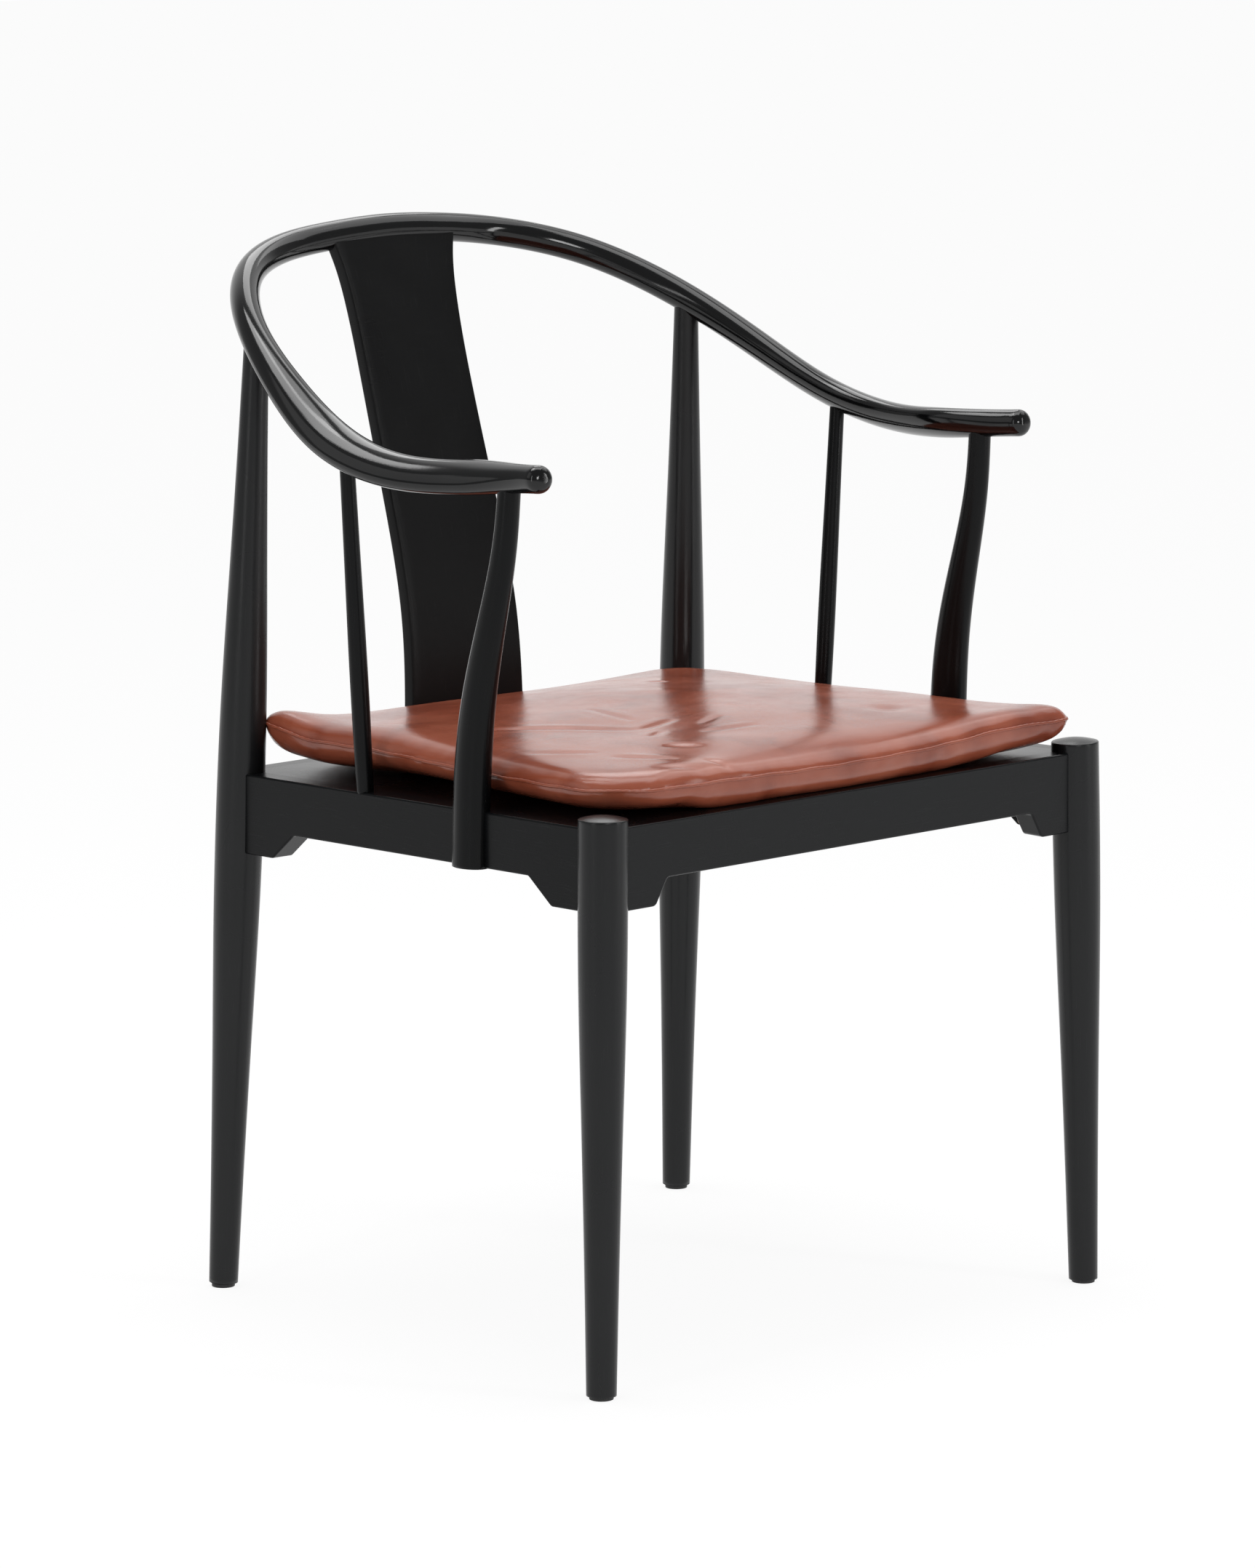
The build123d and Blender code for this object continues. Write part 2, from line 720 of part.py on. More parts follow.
# Legs
pair(
    "front_leg",
    cut(
        front_leg_solid(),
        SIDE.tenons(glue_gap)[0],
        FRONT.tenons(glue_gap)[1],
        leg_screws[0],
        glide_solid(FRONT_FOOT, glue_gap),
    ),
)
rear_leg = cut(
    rear_leg_solid(),
    rail_cope,
    SIDE.tenons(glue_gap)[1],
    BACK.tenons(glue_gap)[0],
    leg_screws[1],
    glide_solid(REAR_FOOT, glue_gap),
)
pair("rear_leg", rear_leg + leg_tenon())

# Seat rails: coped to the legs, tenoned into them and rebated for the panel
side_rail = cut(SIDE.body(), front_leg_cope, rear_leg_cope)
front_rail = cut(FRONT.body(), *both(front_leg_cope))
back_rail = cut(BACK.body(), *both(rear_leg_cope))
for tenon in SIDE.tenons():
    side_rail = side_rail + tenon
for tenon in FRONT.tenons():
    front_rail = front_rail + tenon
for tenon in BACK.tenons():
    back_rail = back_rail + tenon
side_rail = cut(side_rail, panel_space, post_solid(glue_gap), spindle_tenons(glue_gap)[0])
pair("side_rail", cut(side_rail, *leg_screws, *post_screws()))
NODES["front_rail"] = cut(front_rail, panel_space, *both(leg_screws[0]))
back_rail = cut(back_rail, panel_space, splat_tongues(glue_gap)[0])
NODES["back_rail"] = cut(back_rail, *both(leg_screws[1]))

# Arm posts and spindles
arm_post = cut(post_solid(), rail_cope) + post_tenon()
pair("arm_post", cut(arm_post, *post_screws()))
spindle = cut(spindle_solid(), rail_cope, SIDE.body())
for tenon in spindle_tenons():
    spindle = spindle + tenon
pair("side_spindle", spindle)

# Seat panel with its corner blocks and all screws
NODES["seat_panel"] = cut(
    panel_solid(), *both(front_leg_cope, rear_leg_cope), *both(*panel_screws)
)
for name, block, leg_cope, index in (
    ("corner_block_front", front_block, front_leg_cope, 0),
    ("corner_block_rear", rear_block, rear_leg_cope, 1),
):
    pair(name, cut(block.body(), leg_cope, leg_screws[index], panel_screws[index]))
NODES["corner_block_screws"] = Compound(both(*leg_screws))
NODES["seat_panel_screws"] = Compound(both(*panel_screws))
NODES["arm_post_screws"] = Compound(both(*post_screws()))
NODES["floor_glides"] = Compound(both(glide_solid(FRONT_FOOT), glide_solid(REAR_FOOT)))

# Cushion: two leather faces sewn at the edge round one core
cover = cut(cushion_solid(0.0), cushion_solid(leather))
seam_plane = SEAT_PLANE.offset(cushion_seam_height)
NODES["cushion_cover_top"] = split(cover, bisect_by=seam_plane, keep=Keep.TOP)
NODES["cushion_cover_bottom"] = split(cover, bisect_by=seam_plane, keep=Keep.BOTTOM)
NODES["cushion_core"] = cushion_solid(leather + glue_gap)

os.makedirs("parts", exist_ok=True)
for node, shape in NODES.items():
    export_step(shape, f"parts/{node}.step")
    bounds = shape.bounding_box()
    print(f"{node}: {len(shape.solids())} solid, {bounds.min} to {bounds.max}")
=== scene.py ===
"""Horseshoe back armchair, dressed: black lacquered wood and a loose red leather cushion.

Metres, +Z up, the front faces -Y and the sitter's left is +X. Every piece is made where it
stands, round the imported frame.
"""

import logging
import math
from dataclasses import dataclass, field
from enum import Enum

import bmesh
import bpy
import numpy as np
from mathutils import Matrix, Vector


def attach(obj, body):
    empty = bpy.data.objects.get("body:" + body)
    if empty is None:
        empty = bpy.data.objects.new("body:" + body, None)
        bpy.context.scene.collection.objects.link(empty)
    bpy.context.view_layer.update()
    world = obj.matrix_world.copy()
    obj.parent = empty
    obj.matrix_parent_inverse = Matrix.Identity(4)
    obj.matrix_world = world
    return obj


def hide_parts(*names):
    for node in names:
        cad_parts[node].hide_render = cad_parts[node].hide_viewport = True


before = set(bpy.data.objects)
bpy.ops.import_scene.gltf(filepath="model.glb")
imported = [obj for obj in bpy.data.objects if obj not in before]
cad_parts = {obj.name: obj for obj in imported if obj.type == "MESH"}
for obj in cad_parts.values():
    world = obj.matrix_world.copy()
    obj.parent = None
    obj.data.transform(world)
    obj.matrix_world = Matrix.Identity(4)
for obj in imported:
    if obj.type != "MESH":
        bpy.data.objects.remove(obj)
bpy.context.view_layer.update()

logging.basicConfig(level=logging.INFO, format="%(message)s")
LOG = logging.getLogger("armchair")

MM = 0.001
Array = np.ndarray
Material, Mesh, Node, Piece = bpy.types.Material, bpy.types.Mesh, bpy.types.Node, bpy.types.Object
Pair = tuple[float, float]
Triple = tuple[float, float, float]
Four = tuple[float, float, float, float]
CHAIR = "chair_frame"
CUSHION = "cushion"


class Side(Enum):
    """The two sides of the chair, by the sign of X."""

    LEFT = 1.0
    RIGHT = -1.0

    @property
    def word(self) -> str:
        """Name of the side as the nodes write it."""
        return self.name.lower()


class Grain(Enum):
    """Which way the wood runs: along a piece's own length (UV) or along an axis."""

    LENGTH = "length"
    ALONG_X = "x"
    ALONG_Y = "y"


def table(*rows: tuple[float, ...]) -> Array:
    """Field of a dataclass that holds a table, row after row."""
    return field(default_factory=lambda: np.array(rows))


def point(*numbers: float) -> Array:
    """Field of a dataclass that holds a place, given in millimetres."""
    return field(default_factory=lambda: np.array(numbers) * MM)


# ------------------------------------------------------------------------------ curves
def ease(low: Array | float, high: Array | float, share: Array) -> Array:
    """Value between low and high: low + (high - low) * s^2 * (3 - 2s), s held in 0 to 1.

    Args:
        low: value at share 0.
        high: value at share 1.
        share: where each value lies between the two.

    Returns:
        The eased values.
    """
    held = np.clip(share, 0.0, 1.0)
    return low + (high - low) * held * held * (3.0 - 2.0 * held)


def through(knots: Array, count: int) -> Array:
    """Points on the natural cubic spline through the knots, spaced by chord length.

    Between two knots the curve is the cubic whose second derivatives are solved so that
    slope and bend carry on through every knot and the bend is nought at the two ends.

    Args:
        knots: (k, d) points that the curve goes through.
        count: how many points to give back.

    Returns:
        (count, d) points, evenly spaced along the curve.
    """
    chord = np.linalg.norm(np.diff(knots, axis=0), axis=1)
    at = np.concatenate([[0.0], np.cumsum(chord)])
    size = len(knots)
    system = np.eye(size)
    right = np.zeros_like(knots)
    inner = np.arange(1, size - 1)
    before, after = chord[inner - 1, None], chord[inner, None]
    system[inner, inner - 1] = chord[inner - 1]
    system[inner, inner] = 2.0 * (chord[inner - 1] + chord[inner])
    system[inner, inner + 1] = chord[inner]
    right[inner] = 6.0 * (
        (knots[inner + 1] - knots[inner]) / after - (knots[inner] - knots[inner - 1]) / before
    )
    bend = np.linalg.solve(system, right)

    def value(where: Array) -> Array:
        """The spline at distances along the chords."""
        piece = np.clip(np.searchsorted(at, where, side="right") - 1, 0, size - 2)
        span = chord[piece][:, None]
        low = (at[piece + 1] - where)[:, None]
        high = (where - at[piece])[:, None]
        return (
            bend[piece] * low**3 / (6 * span)
            + bend[piece + 1] * high**3 / (6 * span)
            + (knots[piece] / span - bend[piece] * span / 6) * low
            + (knots[piece + 1] / span - bend[piece + 1] * span / 6) * high
        )

    fine = value(np.linspace(0.0, at[-1], 40 * size))
    return evenly(fine, count)


def evenly(points: Array, count: int) -> Array:
    """A polyline resampled at equal distances: each coordinate as a function of the length.

    Args:
        points: (n, d) polyline.
        count: how many points to give back.

    Returns:
        (count, d) points with the same two ends.
    """
    length = np.concatenate([[0.0], np.cumsum(np.linalg.norm(np.diff(points, axis=0), axis=1))])
    where = np.linspace(0.0, length[-1], count)
    return np.stack([np.interp(where, length, column) for column in points.T], axis=1)


def directions(points: Array) -> Array:
    """Unit tangents of a polyline: central differences divided by their length."""
    step = np.gradient(points, axis=0)
    return step / np.linalg.norm(step, axis=1, keepdims=True)


# ------------------------------------------------------------------------------ meshes
def skin(name: str, rings: Array, closed_ends: bool = True) -> Piece:
    """A closed skin over rings of points: quads between neighbouring rings, fans at the ends.

    Ring i, point j joins ring i + 1, point j + 1, the ring closing on itself. Each end is
    a fan to the mean of its ring. The UV map holds metres: round the ring, and along.

    Args:
        name: name of the piece.
        rings: (n, m, 3) points, n rings of m points each.
        closed_ends: whether the two ends get their fans.

    Returns:
        The new object, linked to the scene, faces outwards.
    """
    count, around = rings.shape[:2]
    grid = np.arange(count * around).reshape(count, around)
    nxt = np.roll(grid, -1, axis=1)
    quads = np.stack([grid[:-1], nxt[:-1], nxt[1:], grid[1:]], axis=-1).reshape(-1, 4)
    verts = rings.reshape(-1, 3)
    centres = rings.mean(axis=1)
    along = np.concatenate([[0.0], np.cumsum(np.linalg.norm(np.diff(centres, axis=0), axis=1))])
    girth = np.linalg.norm(np.diff(rings[count // 2], axis=0), axis=1).sum()
    turn = np.linspace(0.0, girth, around + 1)
    left = np.broadcast_to(turn[:-1], (count - 1, around))
    right = np.broadcast_to(turn[1:], (count - 1, around))
    low = np.broadcast_to(along[:-1, None], (count - 1, around))
    high = np.broadcast_to(along[1:, None], (count - 1, around))
    uv = np.stack([left, low, right, low, right, high, left, high], axis=-1).reshape(-1, 4, 2)
    tris = np.zeros((0, 3), int)
    fan_uv = np.zeros((0, 3, 2))
    if closed_ends:
        poles = len(verts) + np.array([0, 1])
        verts = np.concatenate([verts, centres[[0]], centres[[-1]]])
        first = np.stack([nxt[0], grid[0], np.full(around, poles[0])], axis=-1)
        last = np.stack([grid[-1], nxt[-1], np.full(around, poles[1])], axis=-1)
        tris = np.concatenate([first, last])
        angle = np.arange(around) / around * 2 * np.pi
        rim = np.stack([np.cos(angle), np.sin(angle)], axis=-1) * girth / (2 * np.pi)
        ahead = np.roll(rim, -1, axis=0)
        middle = np.zeros_like(rim)
        fan_uv = np.concatenate([
            np.stack([ahead, rim, middle], axis=1), np.stack([rim, ahead, middle], axis=1)
        ])
    volume = np.einsum(
        "ij,ij->", verts[quads[:, 0]], np.cross(verts[quads[:, 1]], verts[quads[:, 2]])
    ) + np.einsum("ij,ij->", verts[quads[:, 0]], np.cross(verts[quads[:, 2]], verts[quads[:, 3]]))
    if volume < 0:
        quads, uv = quads[:, ::-1], uv[:, ::-1]
        tris, fan_uv = tris[:, ::-1], fan_uv[:, ::-1]
    mesh = bpy.data.meshes.new(name)
    mesh.from_pydata(verts.tolist(), [], quads.tolist() + tris.tolist())
    layer = mesh.uv_layers.new(name="length")
    layer.data.foreach_set("uv", np.concatenate([uv.ravel(), fan_uv.ravel()]))
    mesh.polygons.foreach_set("use_smooth", np.full(len(mesh.polygons), True))
    mesh.update()
    mesh.validate()
    piece = bpy.data.objects.new(name, mesh)
    bpy.context.scene.collection.objects.link(piece)
    return piece


def turned(axis: Array, radii: Array, around: int = 48) -> Array:
    """Rings of a turned piece: axis point + r * (cos a * across + sin a * upright).

    Args:
        axis: (n, 3) points on the axis.
        radii: (n,) radius at each point.
        around: points in a ring.

    Returns:
        (n, around, 3) rings, square to the line between the axis's ends.
    """
    line = axis[-1] - axis[0]
    line = line / np.linalg.norm(line)
    across = np.cross(line, [0.0, 1.0, 0.0])
    across /= np.linalg.norm(across)
    upright = np.cross(line, across)
    angle = np.arange(around) / around * 2 * np.pi
    circle = np.cos(angle)[:, None] * across + np.sin(angle)[:, None] * upright
    return axis[:, None, :] + radii[:, None, None] * circle


def rounded_rectangle(
    half_width: Array, half_depth: float, radius: float, per_corner: int, flat: int
) -> Array:
    """Rings of a rectangle with rounded corners, one for each half width.

    Each corner is a quarter circle about a centre one radius in from both sides, and the
    long sides are divided evenly between the corners.

    Args:
        half_width: (n,) half of the long side, for each ring.
        half_depth: half of the short side.
        radius: radius of the corners.
        per_corner: points in a corner.
        flat: points on each long side, between corners.

    Returns:
        (n, m, 2) ring points, across and deep.
    """
    angle = np.linspace(0.0, np.pi / 2, per_corner)
    corner = np.stack([np.cos(angle), np.sin(angle)], axis=-1) * radius
    run = np.linspace(1.0, -1.0, flat + 2)[1:-1]
    width = half_width[:, None] - radius
    depth = half_depth - radius
    rows = len(half_width)
    rise = np.broadcast_to(depth + corner[:, 1], (rows, per_corner))
    first = np.stack([width + corner[:, 0], rise], axis=-1)
    side = np.stack([width * run, np.full((rows, flat), half_depth)], axis=-1)
    second = first[:, ::-1] * np.array([-1.0, 1.0])
    top = np.concatenate([first, side, second], axis=1)
    return np.concatenate([top, -top], axis=1)


def dress(
    piece: Piece, body: str, material: Material, slot: str, *nodes: str
) -> Piece:
    """Give a new piece its finish and body, and let it stand for its CAD nodes.

    Args:
        piece: the new piece, in place.
        body: CAD body that it moves with.
        material: its finish.
        slot: not used.
        *nodes: CAD nodes that it stands for.

    Returns:
        The same piece.
    """
    piece.data.materials.clear()
    piece.data.materials.append(material)
    if nodes:
        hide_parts(*nodes)
    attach(piece, body)
    LOG.info("%s: %d faces on %s", piece.name, len(piece.data.polygons), body)
    return piece


def lacquered(name: str, rings: Array, lacquer: Material, node: str) -> None:
    """Make a lacquered piece of the frame from its rings and let it stand for its node."""
    dress(skin(name, rings), CHAIR, lacquer, "black_lacquer", node)


def on_both_sides(
    kinds: tuple[tuple[str, Array], ...], ending: str, lacquer: Material
) -> None:
    """Make pieces from the rings of their left one, and mirrored by x * -1 on the right.

    Args:
        kinds: (start of the node's name, rings) pairs.
        ending: last word of the pieces' names.
        lacquer: their finish.
    """
    for side in Side:
        flip = np.array([side.value, 1.0, 1.0])
        for kind, rings in kinds:
            node = f"{kind}_{side.word}"
            lacquered(f"{node}_{ending}", rings * flip, lacquer, node)


def finish_node(name: str, material: Material) -> None:
    """Give a CAD node that stays its finish.

    Args:
        name: the node.
        material: its finish.
    """
    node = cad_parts[name]
    node.data.materials.clear()
    node.data.materials.append(material)
    LOG.info("%s: finished as it is", name)


# ------------------------------------------------------------------------------ finishes
class Recipe:
    """A material under construction: its node tree and its one Principled shader."""

    def __init__(self, name: str) -> None:
        """Start a material with an empty tree, a shader and an output."""
        self.material = bpy.data.materials.new(name)
        self.material.use_nodes = True
        self.tree = self.material.node_tree
        self.tree.nodes.clear()
        self.shader = self.node("ShaderNodeBsdfPrincipled")
        output = self.node("ShaderNodeOutputMaterial")
        self.join(self.shader, "BSDF", output, "Surface")
        self._height: Node | None = None

    def node(self, kind: str, **inputs: object) -> Node:
        """Add a node.

        Args:
            kind: Blender's type name.
            **inputs: socket values by name, with underscores for spaces.

        Returns:
            The node.
        """
        made = self.tree.nodes.new(kind)
        for key, value in inputs.items():
            made.inputs[key.replace("_", " ")].default_value = value
        return made

    def join(
        self, source: Node, out: str, target: Node, into: str | int
    ) -> None:
        """Link an output of one node to an input of another."""
        self.tree.links.new(source.outputs[out], target.inputs[into])

    def place(self, source: str, scale: Triple) -> Node:
        """Coordinates, stretched by a scale on each axis.

        Args:
            source: "Object" or "UV".
            scale: how many pattern units to a metre, on each axis.

        Returns:
            The mapping node.
        """
        coordinates = self.node("ShaderNodeTexCoord")
        mapping = self.node("ShaderNodeMapping", Scale=scale)
        self.join(coordinates, source, mapping, "Vector")
        return mapping

    def noise(
        self, place: Node, scale: float, detail: float = 4.0, distortion: float = 0.0
    ) -> Node:
        """Fractal noise on placed coordinates."""
        made = self.node("ShaderNodeTexNoise", Scale=scale, Detail=detail, Distortion=distortion)
        self.join(place, "Vector", made, "Vector")
        return made

    def tint(self, source: Node, stops: list[tuple[float, Triple]]) -> None:
        """Colour the shader by a noise's value.

        Args:
            source: the noise.
            stops: (place, colour) pairs.
        """
        made = self.node("ShaderNodeValToRGB")
        elements = made.color_ramp.elements
        while len(elements) < len(stops):
            elements.new(0.5)
        for element, (where, colour) in zip(elements, stops):
            element.position = where
            element.color = (*colour, 1.0)
        self.join(source, "Fac", made, "Fac")
        self.join(made, "Color", self.shader, "Base Color")

    def span(
        self, source: Node, out: str, reads: Pair, gives: Pair
    ) -> Node:
        """A value carried from one range to another, held at its ends."""
        made = self.node("ShaderNodeMapRange")
        for index, value in enumerate((*reads, *gives), start=1):
            made.inputs[index].default_value = value
        self.join(source, out, made, "Value")
        return made

    def shine(self, source: Node, reads: Pair, gives: Pair) -> None:
        """Give the shader its roughness by a noise's value."""
        self.join(self.span(source, "Fac", reads, gives), "Result", self.shader, "Roughness")

    def relief(
        self, source: Node, out: str, height: float, strength: float = 1.0
    ) -> None:
        """Stack a bump of a height in metres on those before it."""
        bump = self.node("ShaderNodeBump", Strength=strength, Distance=height)
        self.join(source, out, bump, "Height")
        if self._height is not None:
            self.join(self._height, "Normal", bump, "Normal")
        self._height = bump

    def done(self) -> Material:
        """Join the last bump to the shader and give the material."""
        if self._height is not None:
            self.join(self._height, "Normal", self.shader, "Normal")
        return self.material


@dataclass(frozen=True)
class BlackLacquer:
    """Semi-gloss black lacquer over open pored wood."""

    name: str
    grain: Grain
    scuffs: float = 0.0
    deep: Triple = (0.0065, 0.0072, 0.0082)
    worn: Triple = (0.0150, 0.0160, 0.0175)
    ior: float = 1.36
    gloss: Pair = (0.20, 0.31)
    pore_width: float = 0.0011
    pore_length: float = 0.030
    pore_depth: float = 0.00006

    def stretch(self) -> Triple:
        """Pattern units to a metre on each axis, few along the grain and many across."""
        across, along = 1.0 / self.pore_width, 1.0 / self.pore_length
        return {
            Grain.LENGTH: (across, along, across),
            Grain.ALONG_X: (along, across, across),
            Grain.ALONG_Y: (across, along, across),
        }[self.grain]

    def build(self) -> Material:
        """The lacquer, its grain laid the way this finish says."""
        recipe = Recipe(self.name)
        source = "UV" if self.grain is Grain.LENGTH else "Object"
        pores = recipe.noise(recipe.place(source, self.stretch()), 1.0, 3.0)
        body = recipe.place("Object", (1.0, 1.0, 1.0))
        cloud = recipe.noise(body, 9.0, 5.0, 0.4)
        peel = recipe.noise(body, 420.0, 1.0)
        recipe.tint(pores, [(0.30, self.deep), (0.62, self.deep), (0.80, self.worn)])
        gloss = recipe.span(cloud, "Fac", (0.35, 0.68), self.gloss)
        recipe.relief(pores, "Fac", self.pore_depth)
        recipe.relief(peel, "Fac", 0.00002, 0.5)
        if self.scuffs:
            marks = recipe.noise(recipe.place("Object", (30.0, 30.0, 420.0)), 1.0, 6.0, 1.6)
            rub = recipe.span(marks, "Fac", (0.60, 0.78), (0.0, self.scuffs))
            total = recipe.node("ShaderNodeMath")
            total.operation = "ADD"
            recipe.join(gloss, "Result", total, 0)
            recipe.join(rub, "Result", total, 1)
            recipe.join(total, "Value", recipe.shader, "Roughness")
        else:
            recipe.join(gloss, "Result", recipe.shader, "Roughness")
        recipe.shader.inputs["IOR"].default_value = self.ior
        return recipe.done()


@dataclass(frozen=True)
class SeatLeather:
    """Smooth red leather with a fine pebbled grain and a soft shine."""

    deep: Triple = (0.255, 0.053, 0.026)
    body: Triple = (0.405, 0.101, 0.053)
    bright: Triple = (0.500, 0.148, 0.085)
    gloss: Pair = (0.15, 0.23)
    pebble: float = 0.0013
    ior: float = 1.50

    def build(self) -> Material:
        """The leather: mottled colour, uneven shine, pebbles and fine wrinkles."""
        recipe = Recipe("red_leather")
        place = recipe.place("Object", (1.0, 1.0, 1.0))
        mottle = recipe.noise(place, 16.0, 6.0, 0.5)
        recipe.tint(mottle, [(0.25, self.deep), (0.50, self.body), (0.78, self.bright)])
        recipe.shine(recipe.noise(place, 34.0, 4.0), (0.32, 0.70), self.gloss)
        pebbles = recipe.node("ShaderNodeTexVoronoi", Scale=1.0 / self.pebble)
        pebbles.feature = "DISTANCE_TO_EDGE"
        recipe.join(place, "Vector", pebbles, "Vector")
        valley = recipe.span(pebbles, "Distance", (0.0, 0.16), (0.0, 1.0))
        recipe.relief(valley, "Result", 0.00004, 0.4)
        wrinkles = recipe.noise(recipe.place("Object", (26.0, 95.0, 60.0)), 1.0, 7.0, 1.2)
        recipe.relief(wrinkles, "Fac", 0.0006, 0.10)
        recipe.shader.inputs["IOR"].default_value = self.ior
        return recipe.done()


@dataclass(frozen=True)
class BareBeech:
    """Planed beech under the seat: pale brown with short dark flecks."""

    pale: Triple = (0.56, 0.40, 0.25)
    dark: Triple = (0.34, 0.215, 0.12)

    def build(self) -> Material:
        """The wood, its fibres running across the chair."""
        recipe = Recipe("bare_beech")
        fibres = recipe.noise(recipe.place("Object", (22.0, 240.0, 240.0)), 1.0, 6.0, 0.6)
        flecks = recipe.noise(recipe.place("Object", (300.0, 1500.0, 1500.0)), 1.0, 2.0)
        recipe.tint(fibres, [(0.30, self.dark), (0.55, self.pale), (0.8, self.dark)])
        recipe.shine(fibres, (0.3, 0.7), (0.48, 0.66))
        recipe.relief(fibres, "Fac", 0.00012)
        recipe.relief(flecks, "Fac", 0.00008)
        return recipe.done()


@dataclass(frozen=True)
class ZincSteel:
    """Bright zinc plated steel, faintly spangled."""

    pale: Triple = (0.74, 0.74, 0.72)
    dull: Triple = (0.48, 0.49, 0.49)

    def build(self) -> Material:
        """The plating."""
        recipe = Recipe("zinc_steel")
        place = recipe.place("Object", (1.0, 1.0, 1.0))
        spangle = recipe.noise(place, 900.0, 4.0)
        recipe.tint(spangle, [(0.3, self.dull), (0.7, self.pale)])
        recipe.shine(spangle, (0.3, 0.7), (0.24, 0.42))
        recipe.relief(spangle, "Fac", 0.00002)
        recipe.shader.inputs["Metallic"].default_value = 1.0
        return recipe.done()


@dataclass(frozen=True)
class NylonGlide:
    """Matt black moulded nylon, rubbed by the floor."""

    fresh: Triple = (0.010, 0.010, 0.011)
    rubbed: Triple = (0.045, 0.044, 0.043)

    def build(self) -> Material:
        """The nylon."""
        recipe = Recipe("black_nylon")
        place = recipe.place("Object", (1.0, 1.0, 1.0))
        rub = recipe.noise(place, 260.0, 6.0)
        recipe.tint(rub, [(0.45, self.fresh), (0.75, self.rubbed)])
        recipe.shine(rub, (0.3, 0.7), (0.45, 0.65))
        recipe.relief(rub, "Fac", 0.00005)
        return recipe.done()


# ------------------------------------------------------------------------------ sub-assemblies
@dataclass
class CrestRail:
    """One bent stick that is the back and both arms."""

    crest_height: float = 804.3 * MM
    arm_height: float = 660.8 * MM
    arm_half_width: float = 256.5 * MM
    back: float = 263.6 * MM
    reach: float = 461.2 * MM
    diameter: float = 23.0 * MM
    pad_width: float = 34.0 * MM
    pad_thickness: float = 21.0 * MM
    pad_tilt: float = math.radians(30.0)
    tip_diameter: float = 21.0 * MM
    tip_rounding: float = 8.0 * MM
    pad_run: Pair = (0.18, 0.34)
    tip_run: Pair = (0.80, 0.17)
    bend: Array = table(
        (0.000, 0.000, 1.000), (0.203, 0.000, 0.984), (0.382, 0.003, 0.951),
        (0.663, 0.074, 0.835), (0.842, 0.195, 0.630), (0.951, 0.358, 0.341),
        (0.998, 0.510, 0.106), (0.994, 0.676, 0.000), (0.953, 0.835, 0.015),
        (0.981, 1.000, 0.057),
    )

    def centreline(self, count: int = 900) -> Array:
        """Spline through the bend's shares of width, reach and rise, and their mirror image.

        Args:
            count: how many points to give back.

        Returns:
            (count, 3) points from the right tip to the left tip.
        """
        scale = np.array([self.arm_half_width, -self.reach, self.crest_height - self.arm_height])
        half = self.bend * scale + np.array([0.0, self.back, self.arm_height])
        other = half[:0:-1] * np.array([-1.0, 1.0, 1.0])
        return through(np.concatenate([other, half]), count)

    def point(self, y: float) -> Array:
        """Point of the centreline on the left side, at a distance from front to back."""
        line = self.centreline(2400)
        left = line[len(line) * 55 // 100:]
        return np.array([np.interp(-y, -left[:, 1], column) for column in left.T])

    def rings(self, count: int = 420, around: int = 48) -> Array:
        """Sections of the stick: round at the back, tilted ovals on the arms, round noses.

        A ring is centre + a cos t * wide + b sin t * thick, with wide tilted down from
        level by the pad's tilt. The oval and the tip begin at a share of the reach and grow
        over a further share. A nose adds rings that follow a quarter circle in to the tip.

        Args:
            count: rings along the stick.
            around: points in a ring.

        Returns:
            (n, around, 3) rings.
        """
        line = self.centreline()
        length = np.linalg.norm(np.diff(line, axis=0), axis=1).sum()
        trim = self.tip_rounding / length
        index = np.linspace(trim, 1.0 - trim, count) * (len(line) - 1)
        places = np.stack([np.interp(index, np.arange(len(line)), c) for c in line.T], axis=1)
        ahead = directions(places)
        run = (self.back - places[:, 1]) / self.reach
        pad = (run - self.pad_run[0]) / self.pad_run[1]
        tip = (run - self.tip_run[0]) / self.tip_run[1]
        half_wide = ease(ease(self.diameter, self.pad_width, pad), self.tip_diameter, tip) / 2
        half_thick = ease(ease(self.diameter, self.pad_thickness, pad), self.tip_diameter, tip) / 2
        quarter = np.linspace(0.0, np.pi / 2, 8)[1:]
        forth = self.tip_rounding * np.sin(quarter)
        shrink = self.tip_rounding * (1.0 - np.cos(quarter))
        places = np.concatenate([
            (places[0] - ahead[0] * forth[:, None])[::-1], places,
            places[-1] + ahead[-1] * forth[:, None],
        ])
        ahead = np.concatenate([
            np.repeat(ahead[:1], len(quarter), 0), ahead, np.repeat(ahead[-1:], len(quarter), 0)
        ])
        half_wide = np.concatenate([
            (half_wide[0] - shrink)[::-1], half_wide, half_wide[-1] - shrink
        ])
        half_thick = np.concatenate([
            (half_thick[0] - shrink)[::-1], half_thick, half_thick[-1] - shrink
        ])
        outward = np.cross([0.0, 0.0, 1.0], ahead)
        outward /= np.linalg.norm(outward, axis=1, keepdims=True)
        upward = np.cross(ahead, outward)
        wide = outward * math.cos(self.pad_tilt) - upward * math.sin(self.pad_tilt)
        thick = np.cross(ahead, wide)
        angle = np.arange(around) / around * 2 * np.pi
        return (
            places[:, None]
            + (half_wide[:, None] * np.cos(angle))[..., None] * wide[:, None]
            + (half_thick[:, None] * np.sin(angle))[..., None] * thick[:, None]
        )

    def build(self, lacquer: Material) -> None:
        """Make the rail and let it stand for its node."""
        lacquered("crest_rail_lacquered", self.rings(), lacquer, "crest_rail")


